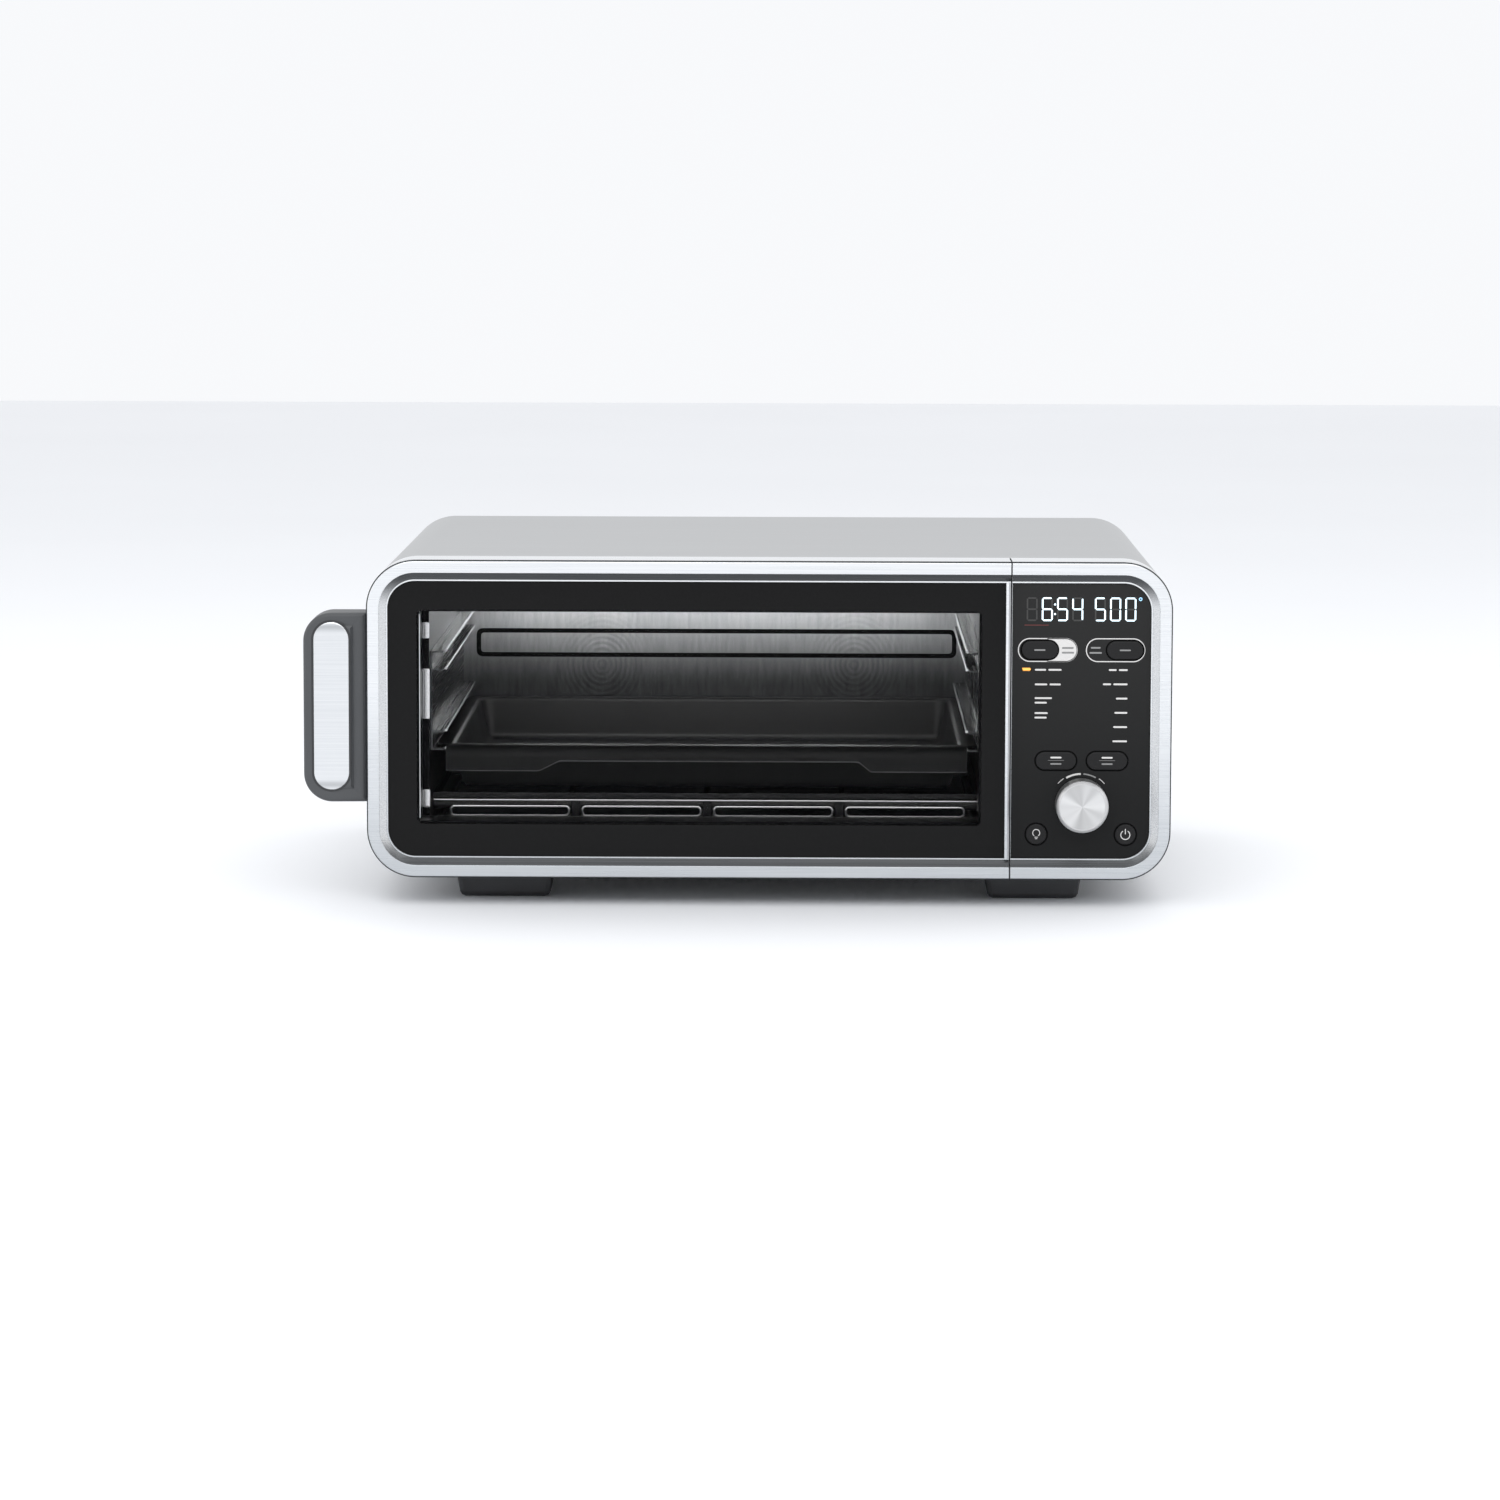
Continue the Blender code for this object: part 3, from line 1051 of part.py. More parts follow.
def lamp():
    """Cavity lamp behind a glass cover in the right wall."""
    place = (CAVITY_RIGHT, LAMP_DEPTH, LAMP_HEIGHT)
    edge, crown = -0.6 * LAMP_SEAT, -LAMP_SEAT
    cover = [(0, -GAP), (LAMP_RADIUS, -GAP), (LAMP_RADIUS, edge), (LAMP_RADIUS * 0.7, crown), (0, crown)]
    finish(turned("lamp_cover", cover, place, "X"), "lamp_cover", CLEAR)
    cap, length = BULB_RADIUS * 0.78, BULB_LENGTH
    bulb = [(0, length), (cap, length), (cap, length * 0.55), (BULB_RADIUS, length * 0.32)]
    bulb += [(cap, length * 0.14), (0, length * 0.07)]
    finish(turned("interior_lamp", bulb, place, "X", PIN_STEPS), "interior_lamp", CLEAR)


def feet():
    """Four moulded feet, narrower at the counter."""
    rows = (("front", WRAP_FRONT + FRONT_FOOT_GAP), ("rear", BODY_DEPTH - REAR_FOOT_GAP))
    for row, depth in rows:
        for side, word in ((-1, "left"), (1, "right")):
            x = side * FOOT_X
            xs = (x - FOOT_WIDTH / 2, x + FOOT_WIDTH / 2)
            name = f"{row}_foot_{word}"
            taper = FOOT_WIDTH * (1 - FOOT_TAPER) / 2
            foot = tapered(name, xs, (depth, depth + FOOT_LENGTH), (0, FOOT_HEIGHT - GAP), taper, PARTS)
            finish(soften(foot, FOOT_EDGE), name, RUBBER)


def cord_gland():
    """Bush where the mains lead leaves the rear panel."""
    back = -(BODY_DEPTH + GLAND_REACH)
    face = -(BODY_DEPTH + GAP)
    front = -(BODY_DEPTH - 5 * REAR_SHEET)
    profile = [(GLAND_BORE, front), (GLAND_NECK, front), (GLAND_NECK, face), (GLAND_RADIUS, face)]
    profile += [(GLAND_RADIUS, face - GLAND_FLANGE), (GLAND_NECK, back), (GLAND_BORE, back)]
    profile.append((GLAND_BORE, front))
    finish(turned("cord_gland", profile, (GLAND_X, 0, GLAND_Z)), "cord_gland", RUBBER)


def door_origins():
    """Every piece of the door turns about the hinge line."""
    pieces = ["door_frame", "door_outer_glass", "door_inner_frame", "door_inner_glass"]
    for name in [*pieces, "door_handle", "handle_inlay"]:
        set_origin(bpy.data.objects[name], 0, HINGE_DEPTH, HINGE_Z)


outer_wrap()
base_plate()
rear_panel()
rear_spacers()
front_frame()
door_frame()
door_panes()
door_inner_frame()
door_handle()
hinges()
panel_housing()
panel_fascia()
push_buttons()
selector_knob()
panel_electronics()
cavity_walls()
rack_guides()
heaters()
sheet_pan()
crumb_tray()
air_and_light()
feet()
cord_gland()
door_origins()
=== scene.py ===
"""Finished surfaces of a low countertop toaster oven, built on its CAD frame and in the order that the oven
is put together: sleeve, door, handle, control panel, cavity, pan, elements, then the inner works and feet."""

import json
import math

import bmesh
import bpy
import numpy as np
from mathutils import Matrix, Vector


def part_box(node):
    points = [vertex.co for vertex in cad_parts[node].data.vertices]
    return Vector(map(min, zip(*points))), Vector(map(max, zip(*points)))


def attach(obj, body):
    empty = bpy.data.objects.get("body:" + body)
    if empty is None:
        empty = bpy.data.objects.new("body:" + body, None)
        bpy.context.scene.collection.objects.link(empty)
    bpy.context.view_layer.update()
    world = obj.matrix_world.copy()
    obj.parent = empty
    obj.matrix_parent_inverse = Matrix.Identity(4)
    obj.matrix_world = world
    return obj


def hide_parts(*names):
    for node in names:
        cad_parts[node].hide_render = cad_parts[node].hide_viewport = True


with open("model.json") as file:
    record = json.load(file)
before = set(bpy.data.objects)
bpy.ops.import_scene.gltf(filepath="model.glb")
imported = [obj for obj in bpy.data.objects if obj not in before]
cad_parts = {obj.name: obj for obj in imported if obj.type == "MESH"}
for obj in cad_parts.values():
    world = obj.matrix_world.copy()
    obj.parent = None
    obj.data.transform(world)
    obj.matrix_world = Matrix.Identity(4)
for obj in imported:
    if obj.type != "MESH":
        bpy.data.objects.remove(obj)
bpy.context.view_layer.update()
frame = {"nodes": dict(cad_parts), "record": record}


# Outer sleeve. One sheet of stainless steel brushed from side to side, 1 mm thick, bent round the body and
# open along the bottom, where the base plate closes it. Its front edge is hemmed behind a dark gap.
class Wire:
    """A node's output that takes part in arithmetic: each operator adds one Math node."""

    def __init__(self, paint, socket):
        self.paint = paint
        self.socket = socket

    def math(self, operation, first, second=0.0):
        return self.paint.node("ShaderNodeMath", {"operation": operation}, {0: first, 1: second})

    def __add__(self, other):
        return self.math("ADD", self, other)

    def __sub__(self, other):
        return self.math("SUBTRACT", self, other)

    def __rsub__(self, other):
        return self.math("SUBTRACT", other, self)

    def __mul__(self, other):
        return self.math("MULTIPLY", self, other)

    def __abs__(self):
        return self.math("ABSOLUTE", self)

    def above(self, floor):
        return self.math("MAXIMUM", self, floor)

    def root(self):
        return self.math("SQRT", self)

    __radd__ = __add__
    __rmul__ = __mul__


class Paint:
    """A Principled material. Constants go straight on its sockets, and feed() links what varies."""

    def __init__(self, name, **constants):
        self.material = bpy.data.materials.new(name)
        self.material.use_nodes = True
        self.tree = self.material.node_tree
        self.shader = self.tree.nodes["Principled BSDF"]
        for socket, value in constants.items():
            self.shader.inputs[socket.replace("_", " ")].default_value = value

    def node(self, kind, settings=None, inputs=None, output=0):
        """Adds a node, gives it its settings and then the values or wires of its sockets."""
        made = self.tree.nodes.new(kind)
        for key, value in (settings or {}).items():
            setattr(made, key, value)
        for key, value in (inputs or {}).items():
            if isinstance(value, Wire):
                self.tree.links.new(value.socket, made.inputs[key])
            else:
                made.inputs[key].default_value = value
        return Wire(self, made.outputs[output])

    def feed(self, socket, wire):
        self.tree.links.new(wire.socket, self.shader.inputs[socket])
        return self

    def place(self):
        return self.node("ShaderNodeTexCoord", output=3)

    def axes(self):
        """The x, y and z of a point, each as a wire."""
        split = self.node("ShaderNodeSeparateXYZ", None, {0: self.place()})
        return [Wire(self, output) for output in split.socket.node.outputs]

    def noise(self, stretch, detail=2.0):
        """Noise from 0 to 1, with its own count of cells in a metre along each axis."""
        mapped = self.node("ShaderNodeMapping", None, {"Vector": self.place(), "Scale": stretch})
        return self.node("ShaderNodeTexNoise", None, {"Vector": mapped, "Scale": 1.0, "Detail": detail})

    def step(self, value, low, high):
        """Rises smoothly from 0 at low to 1 at high."""
        settings = {"interpolation_type": "SMOOTHSTEP"}
        return self.node("ShaderNodeMapRange", settings, {"Value": value, "From Min": low, "From Max": high})

    def mix(self, factor, first, second):
        """The first colour where the factor is 0 and the second where it is 1."""
        return self.node("ShaderNodeMix", {"data_type": "RGBA"}, {0: factor, 6: first, 7: second}, output=2)

    def bump(self, height, depth):
        """Relief whose full height, from 0 to 1, stands for that depth in metres."""
        inputs = {"Strength": 1.0, "Distance": depth, "Height": height}
        return self.feed("Normal", self.node("ShaderNodeBump", None, inputs))


def rgb(red, green, blue):
    return (red, green, blue, 1.0)


def grey(level):
    return rgb(level, level, level)


def shade(colour, factor):
    return rgb(*(channel * factor for channel in colour[:3]))


ALONG_X = (9.0, 1300.0, 1300.0)
ROUND_THE_BODY = (9.0, 1300.0, 9.0)


def brushed(name, colour, roughness, grain=ALONG_X, contrast=0.16, relief=0.000012):
    """Brushed metal: fine streaks along one axis change its shade, its roughness and a shallow relief."""
    paint = Paint(name, Metallic=1.0)
    fine = paint.noise(grain, 3.0)
    broad = paint.noise(tuple(cells * 0.16 for cells in grain), 2.0)
    streak = fine * 0.65 + broad * 0.35
    spread = paint.step(streak, 0.25, 0.75)
    paint.feed("Base Color", paint.mix(spread, shade(colour, 1 - contrast), shade(colour, 1 + contrast / 3)))
    paint.feed("Roughness", streak * 0.16 + (roughness - 0.08))
    return paint.bump(fine, relief)


QUARTERS = {"TR": (1, 1, 0), "TL": (-1, 1, 90), "BL": (-1, -1, 180), "BR": (1, -1, 270)}
ALL_ROUND = ("TR", "TL", "BL", "BR")
SMALLEST_RADIUS = 0.0002


def outline(box, radius, corners, inset, ends=None, steps=20):
    """A rounded outline, drawn inwards by an inset. Each corner is its centre plus the radius left over times
    (cos a, sin a), with a turning through 90 degrees; an open outline also has two ends at given places. The
    radius is one value, or one for each corner by its name."""
    x0, x1, z0, z1 = box
    parts = []
    for name in corners:
        side, up, start = QUARTERS[name]
        full = radius[name] if isinstance(radius, dict) else radius
        left_over = max(full - inset, SMALLEST_RADIUS)
        centre_x = x1 - inset - left_over if side > 0 else x0 + inset + left_over
        centre_z = z1 - inset - left_over if up > 0 else z0 + inset + left_over
        turn = np.radians(np.linspace(start, start + 90, steps + 1))
        arc = left_over * np.column_stack([np.cos(turn), np.sin(turn)])
        parts.append(np.array([centre_x, centre_z]) + arc)
    line = np.vstack(parts)
    if ends:
        line = np.vstack([[ends[0], line[0, 1]], line, [ends[1], line[-1, 1]]])
    return line


def divided(line, counts):
    """Each straight stretch between two points is cut into its count of equal steps."""
    steps = [
        a + (b - a) * np.linspace(0, 1, count, endpoint=False)[:, None]
        for a, b, count in zip(line[:-1], line[1:], counts)
    ]
    return np.vstack([*steps, line[-1:]])


def swept(box, radius, corners, profile, ends=None, steps=20, pitch=0.03):
    """A profile carried round an outline. Row k is the outline inset by the profile's first value, at the
    depth of its second value."""
    closed = ends is None
    rows = []
    counts = None
    for inset, depth in profile:
        line = outline(box, radius, corners, inset, ends, steps)
        if closed:
            line = np.vstack([line, line[:1]])
        if counts is None:
            gaps = np.linalg.norm(np.diff(line, axis=0), axis=1)
            counts = np.maximum(1, np.ceil(gaps / pitch)).astype(int)
        line = divided(line, counts)
        if closed:
            line = line[:-1]
        rows.append(np.column_stack([line[:, 0], np.full(len(line), depth), line[:, 1]]))
    return np.array(rows)


def filleted(corners, radii, closed=True, steps=5):
    """A profile with rounded corners: each corner becomes an arc tangent to both of its sides, and a point
    just past each end of the arc keeps the flats flat when they are shaded."""
    points = np.array(corners, float)
    made = []
    for i, radius in enumerate(radii):
        here = points[i]
        if radius == 0 or (not closed and i in (0, len(points) - 1)):
            made.append(here[None])
            continue
        before, after = points[i - 1] - here, points[(i + 1) % len(points)] - here
        u, v = before / np.linalg.norm(before), after / np.linalg.norm(after)
        half = math.acos(np.clip(u @ v, -1, 1)) / 2
        reach = radius / math.tan(half)
        centre = here + (u + v) / np.linalg.norm(u + v) * radius / math.sin(half)
        first, last = here + u * reach - centre, here + v * reach - centre
        start = math.atan2(first[1], first[0])
        swing = (math.atan2(last[1], last[0]) - start + math.pi) % (2 * math.pi) - math.pi
        turn = start + swing * np.linspace(0, 1, steps + 1)
        arc = centre + radius * np.column_stack([np.cos(turn), np.sin(turn)])
        room = min(np.linalg.norm(before), np.linalg.norm(after)) / 2 - reach
        margin = min(0.15 * radius, max(room, 0) * 0.9)
        made.append(np.vstack([here + u * (reach + margin), arc, here + v * (reach + margin)]))
    return np.vstack(made)


def skin(rows, wrap_rows=False, wrap_columns=False, cap_rows=False, cap_columns=False):
    """The faces of a grid of points. Cell (i, j) joins its four neighbours; a wrapped direction joins its
    last line to its first, and a cap is one face over each open end."""
    count, across = rows.shape[:2]
    index = np.arange(count * across).reshape(count, across)
    cells = np.vstack([index, index[:1]]) if wrap_rows else index
    cells = np.hstack([cells, cells[:, :1]]) if wrap_columns else cells
    faces = np.stack([cells[:-1, :-1], cells[1:, :-1], cells[1:, 1:], cells[:-1, 1:]], axis=-1)
    faces = faces.reshape(-1, 4).tolist()
    if cap_rows:
        faces += [index[0].tolist(), index[-1].tolist()]
    if cap_columns:
        faces += [index[:, 0].tolist(), index[:, -1].tolist()]
    return rows.reshape(-1, 3), faces


def loft(rows):
    """Closed rings joined one to the next, with a cap on the first and the last."""
    return skin(rows, wrap_columns=True, cap_rows=True)


def strip(rows):
    """A closed profile carried along an open path, with a cap at each end of the path."""
    return skin(rows, wrap_rows=True, cap_columns=True)


def hoop(rows):
    """A closed profile carried round a closed path."""
    return skin(rows, wrap_rows=True, wrap_columns=True)


def solid(name, skins, paint, sharp=32):
    """One object from closed skins, with its points merged, its faces turned outwards and its edges shaded
    smooth up to an angle."""
    points, faces, first = [], [], 0
    for places, cells in skins:
        points.append(places)
        faces += [[corner + first for corner in cell] for cell in cells]
        first += len(places)
    mesh = bpy.data.meshes.new(name)
    mesh.from_pydata(np.vstack(points).tolist(), [], faces)
    shape = bmesh.new()
    shape.from_mesh(mesh)
    bmesh.ops.remove_doubles(shape, verts=shape.verts, dist=1e-6)
    bmesh.ops.recalc_face_normals(shape, faces=shape.faces)
    shape.to_mesh(mesh)
    shape.free()
    mesh.shade_smooth()
    mesh.set_sharp_from_angle(angle=math.radians(sharp))
    mesh.materials.append(paint.material)
    made = bpy.data.objects.new(name, mesh)
    bpy.context.scene.collection.objects.link(made)
    return made


def span(node):
    """The x, y and z ranges of a CAD node."""
    low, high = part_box(node)
    return [(low[axis], high[axis]) for axis in range(3)]


def middle_of(ends):
    return sum(ends) / 2


def half_of(ends):
    return (ends[1] - ends[0]) / 2


def grown(x_range, z_range, margin):
    """A box round two ranges, larger by a margin on every side."""
    return (x_range[0] - margin, x_range[1] + margin, z_range[0] - margin, z_range[1] + margin)


STEEL = rgb(0.425, 0.432, 0.436)
WRAP_SHEET = 0.001
WRAP_FLANGE = 0.075
CORNER_RADIUS = 0.029

wrap_x, wrap_y, wrap_z = span("outer_wrap")
steel_paint = brushed("brushed_steel_sleeve", STEEL, 0.33, ROUND_THE_BODY)
sheet_section = filleted(
    [(0, wrap_y[1]), (0, wrap_y[0]), (WRAP_SHEET, wrap_y[0]), (WRAP_SHEET, wrap_y[1])], [0.0003] * 4, steps=3
)
flange = (wrap_x[1] - WRAP_FLANGE, wrap_x[0] + WRAP_FLANGE)
wrap_rows = swept((*wrap_x, *wrap_z), CORNER_RADIUS, ("BR", "TR", "TL", "BL"), sheet_section, flange)
sleeve = solid("outer_sleeve", [strip(wrap_rows)], steel_paint)
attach(sleeve, "housing")
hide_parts("outer_wrap")


# Door rim. A bright satin band, with painted shade that darkens it towards the counter and on its rounded
# outer edge, runs round the front; then a polished slope, painted darker on its top and bottom runs as a
# painted reflection, falls inwards to a thin bright ledge that holds the glass. Behind it a thin wall runs
# back, chamfered and notched at the hinges.
def clipped(rows, limit):
    """Points behind a depth limit, itself a function of x and z, are brought forward to it."""
    rows = rows.copy()
    rows[..., 1] = np.minimum(rows[..., 1], limit(rows[..., 0], rows[..., 2]))
    return rows


RIM_EDGE = 0.0010
RIM_FLAT = 0.0074
RIM_SLOPE = 0.0044
RIM_LEDGE = 0.0008
RIM = RIM_FLAT + RIM_SLOPE + RIM_LEDGE
RIM_DROP = 0.003
RIM_DEPTH = 0.034
LIP = 0.004
WALL = 0.002
EDGE_STRIP = 0.0028
HINGE_CHAMFER = 0.006
NOTCH_HALF = 0.0034
NOTCH_FRONT = 0.0125
NOTCH_RISE = 0.013

door_x, door_y, door_z = span("door_frame")
front = door_y[0]
door_frame_box = (*door_x, *door_z)
hinge_arms = [middle_of(span(f"hinge_bracket_{side}")[0]) for side in ("left", "right")]


def satin(name, z_range):
    """Bright satin steel with painted shade: a little darker towards the counter, where less light falls,
    with slow patches along its length.
    """
    paint = Paint(name, Metallic=1.0)
    height = paint.axes()[2]
    streak = paint.noise(ALONG_X, 3.0)
    patches = paint.noise((11.0, 11.0, 26.0), 2.0)
    level = paint.step(height + patches * 0.05, z_range[0] + 0.010, z_range[1] - 0.020)
    low = paint.mix(streak, rgb(0.42, 0.445, 0.465), rgb(0.60, 0.62, 0.64))
    high = paint.mix(streak, rgb(0.68, 0.70, 0.72), rgb(0.88, 0.89, 0.90))
    paint.feed("Base Color", paint.mix(level, low, high))
    paint.feed("Roughness", streak * 0.14 + 0.22)
    return paint.bump(streak, 0.00001)


bright_paint = satin("bright_satin_rim", door_z)
# The rim's rounded outer edge is the same steel as the band, painted nearly black as shade.
rim_edge_shade_paint = brushed("rim_edge_painted_shade", rgb(0.050, 0.054, 0.058), 0.26, contrast=0.3)


def slope_paint(name, z_range):
    """Polished slope with a painted reflection: nearly black on the top and bottom runs, and lighter on the
    upright ones.
    """
    paint = Paint(name, Metallic=1.0)
    height = paint.axes()[2]
    half = half_of(z_range)
    from_middle = abs(height - middle_of(z_range))
    level = paint.step(from_middle, half - CORNER_RADIUS, half - RIM_FLAT - RIM_SLOPE / 2)
    streak = paint.noise(ALONG_X, 2.0)
    dark = paint.mix(streak, rgb(0.060, 0.063, 0.066), rgb(0.10, 0.104, 0.108))
    light = paint.mix(streak, rgb(0.50, 0.51, 0.52), rgb(0.66, 0.67, 0.68))
    paint.feed("Base Color", paint.mix(level, light, dark))
    return paint.feed("Roughness", streak * 0.1 + 0.22)


def rim_sections(front):
    """Profiles, as inset and depth: the band with its wall, the outer edge that is painted dark as shade, the
    slope, the ledge.
    """
    back = front + RIM_DEPTH
    band_edge = RIM_FLAT + 0.0002
    band = [
        (0, back), (0, front + 0.0014), (0.0002, front + 0.0014), (RIM_EDGE, front), (band_edge, front),
        (band_edge, front + LIP), (WALL, front + LIP), (WALL, back),
    ]
    edge = [(0, front + LIP), (0, front + RIM_EDGE), (RIM_EDGE, front + 0.00006), (RIM_EDGE, front + LIP)]
    slope_end = RIM_FLAT + RIM_SLOPE
    slope = [(RIM_FLAT, front + 0.00025), (slope_end, front + RIM_DROP), (slope_end, front + LIP),
             (RIM_FLAT, front + LIP)]
    ledge = [(slope_end - 0.0001, front + LIP), (slope_end - 0.0001, front + RIM_DROP - 0.0003),
             (RIM, front + RIM_DROP - 0.0003), (RIM, front + LIP)]
    return (
        filleted(band, [0, 0, 0, 0.0003, 0.0004, 0, 0, 0]),
        filleted(edge, [0, 0.0008, 0.0004, 0]),
        filleted(slope, [0.0002, 0.0003, 0, 0]),
        filleted(ledge, [0, 0.0002, 0.0003, 0]),
    )


def door_depth(x, z):
    """How far back the rim reaches: a 45 degree chamfer low down, and a notch round each hinge arm."""
    rise = z - door_z[0]
    limit = door_y[1] - np.maximum(0, HINGE_CHAMFER - rise)
    for arm in hinge_arms:
        notched = (np.abs(x - arm) < NOTCH_HALF) & (rise < NOTCH_RISE)
        limit = np.where(notched, np.minimum(limit, front + NOTCH_FRONT), limit)
    return limit


def rim_trims(name, box, path, ends, z_range):
    """The slope, the ledge and the edge of a rim, each its profile swept along the rim's path; the slope
    carries a painted reflection and the edge painted shade.
    """
    trims = []
    for kind, section, paint in (("slope", slope_section, slope_paint(f"{name}_slope_painted_reflection", z_range)),
                                 ("ledge", ledge_section, bright_paint), ("edge", edge_section, rim_edge_shade_paint)):
        rows = swept(box, CORNER_RADIUS, path, section, ends, steps=32)
        trims.append(solid(f"{name}_rim_{kind}", [strip(rows)], paint))
    return trims


band_section, edge_section, slope_section, ledge_section = rim_sections(front)
door_path = ("TL", "BL")
door_ends = (door_x[1], door_x[1])
band_rows = swept(door_frame_box, CORNER_RADIUS, door_path, band_section, door_ends, steps=32, pitch=0.0012)
strip_low, strip_high = door_z[0] + RIM - 0.0001, door_z[1] - RIM + 0.0001
strip_edge = door_x[1] - EDGE_STRIP * 0.42
strip_flat = filleted(
    [(door_x[1] - EDGE_STRIP, front + LIP), (door_x[1] - EDGE_STRIP, front), (strip_edge, front),
     (strip_edge, front + LIP)],
    [0, 0.0003, 0, 0],
)
strip_bevel = filleted(
    [(strip_edge, front + LIP), (strip_edge, front + 0.00004), (door_x[1], front + 0.0009),
     (door_x[1], front + LIP)],
    [0, 0.0002, 0.0004, 0],
)
strip_rows, strip_bevel_rows = (
    np.array([np.column_stack([line, np.full(len(line), height)]) for height in (strip_low, strip_high)])
    for line in (strip_flat, strip_bevel)
)
wall_rows = swept(
    (door_x[1] - WALL, door_x[1], door_z[0] + 0.0065, door_z[1] - WALL), 0.0001, ALL_ROUND,
    [(0, front + LIP - 0.0001), (0, door_y[1])], steps=2,
)
rim_skins = [
    strip(clipped(band_rows, door_depth)),
    loft(strip_rows),
    loft(wall_rows),
]
door_rim = solid("door_rim", rim_skins, bright_paint)
door_trims = rim_trims("door", door_frame_box, door_path, door_ends, door_z)
# The strip's bevel is the same steel as its flat, painted greyer as shade.
strip_bevel_shade_paint = brushed("strip_bevel_painted_shade", rgb(0.42, 0.43, 0.44), 0.30, (1300.0, 1300.0, 9.0))
door_bevel = solid("door_strip_bevel", [loft(strip_bevel_rows)], strip_bevel_shade_paint)
for part in (door_rim, *door_trims, door_bevel):
    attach(part, "door")
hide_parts("door_frame")


# Door glass. A black printed border round a clear window on the outer pane, and a clear inner pane set in the
# steel tunnel of the pressed inner sheet, whose walls in front of the pane are painted near black as shade.
pane_x, pane_y, pane_z = span("door_inner_glass")
TUNNEL = 0.0015
window_x = (pane_x[0] - TUNNEL, pane_x[1] + TUNNEL)
window_z = (pane_z[0] - TUNNEL, pane_z[1] + TUNNEL)
PRINT_EDGE = 0.0003
WINDOW_CORNER = 0.0032


def window_mask(paint, x_range, z_range, radius):
    """1 inside an upright rounded rectangle and 0 outside. The distance to its edge is the length of how far
    a point lies past the straight part on each axis, less the corner's radius."""
    x, _, z = paint.axes()
    past_x, past_z = (
        (abs(place - middle_of(ends)) - (half_of(ends) - radius)).above(0.0)
        for place, ends in ((x, x_range), (z, z_range))
    )
    outside = (past_x * past_x + past_z * past_z).root() - radius
    return 1 - paint.step(outside, -PRINT_EDGE, PRINT_EDGE)


coated = set()


def coat_with(node, paint):
    """Gives a CAD node its finish, and notes that it has one."""
    materials = frame["nodes"][node].data.materials
    materials.clear()
    materials.append(paint.material)
    coated.add(node)


glass_paint = Paint("printed_glass", Specular_IOR_Level=0.09)
clear_area = window_mask(glass_paint, window_x, window_z, WINDOW_CORNER)
print_grain = glass_paint.noise((600.0, 600.0, 600.0), 2.0)
border_black = glass_paint.mix(print_grain, rgb(0.0062, 0.0062, 0.0063), rgb(0.0088, 0.0088, 0.009))
glass_paint.feed("Base Color", border_black)
glass_paint.feed("Alpha", 1 - clear_area * 0.95)
glass_paint.feed("Roughness", print_grain * 0.03 + 0.06)
coat_with("door_outer_glass", glass_paint)
pane_paint = Paint("clear_pane", Specular_IOR_Level=0.12, Base_Color=rgb(0.02, 0.022, 0.022))
pane_haze = pane_paint.noise((35.0, 35.0, 35.0), 3.0)
pane_paint.feed("Alpha", pane_haze * 0.02 + 0.02)
pane_paint.feed("Roughness", pane_haze * 0.05 + 0.04)
coat_with("door_inner_glass", pane_paint)
sheet_paint = Paint("door_inner_sheet", Metallic=1.0)
sheet_depth = sheet_paint.axes()[1]
sheet_grain = sheet_paint.noise(ALONG_X, 3.0)
# Painted shade: the tunnel's walls in front of the inner pane are near black.
tunnel_painted_shade = 1 - sheet_paint.step(sheet_depth, pane_y[1] + 0.0012, pane_y[1] + 0.0022)
sheet_steel = sheet_paint.mix(sheet_grain, rgb(0.40, 0.405, 0.41), rgb(0.56, 0.565, 0.57))
sheet_paint.feed("Base Color", sheet_paint.mix(tunnel_painted_shade, sheet_steel, rgb(0.012, 0.012, 0.013)))
sheet_paint.feed("Roughness", sheet_grain * 0.15 + 0.32)
coat_with("door_inner_frame", sheet_paint)
trim_x = window_x[0] + np.array([0.0010, 0.0016, 0.0016, 0.0010])
trim_y = front + np.array([0.0086, 0.0086, 0.0116, 0.0116])
trim_ends = (window_z[0] + 0.003, window_z[1] - 0.003)
trim_rows = np.array([np.column_stack([trim_x, trim_y, np.full(4, height)]) for height in trim_ends])
trim_paint = brushed("window_edge_trim", rgb(0.90, 0.91, 0.92), 0.3, (1300.0, 1300.0, 12.0))
trim = solid("window_edge_trim", [loft(trim_rows)], trim_paint)
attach(trim, "door")


# Side handle. A moulded dark grey paddle with a rounded outer end, hollowed from behind for the fingers. Its
# face falls away in a shallow cove towards the door, and a dark bezel rings the steel inlay.
GRIP_RADIUS = 0.017
GRIP_WALL = 0.0075
GRIP_FRONT = 0.009
EDGE_ROUND = 0.0022
COVE_DEPTH = 0.0016
COVE_START = 0.0094
COVE_WIDTH = 0.0016
BEZEL_REACH = 0.0011
BEZEL_WIDTH = 0.00125

grip_x, grip_y, grip_z = span("door_handle")
inlay_x, inlay_y, inlay_z = span("handle_inlay")


def moulded(name, colour, roughness, grain=2600.0, relief=0.00002, specular=0.5):
    """Moulded plastic: a fine even grain with a slow drift of shade and gloss over the piece."""
    paint = Paint(name, Specular_IOR_Level=specular)
    fine = paint.noise((grain,) * 3, 2.0)
    slow = paint.noise((28.0,) * 3, 2.0)
    blend = fine * 0.5 + slow * 0.5
    paint.feed("Base Color", paint.mix(blend, shade(colour, 0.82), shade(colour, 1.18)))
    paint.feed("Roughness", slow * 0.12 + (roughness - 0.06))
    return paint.bump(fine, relief)


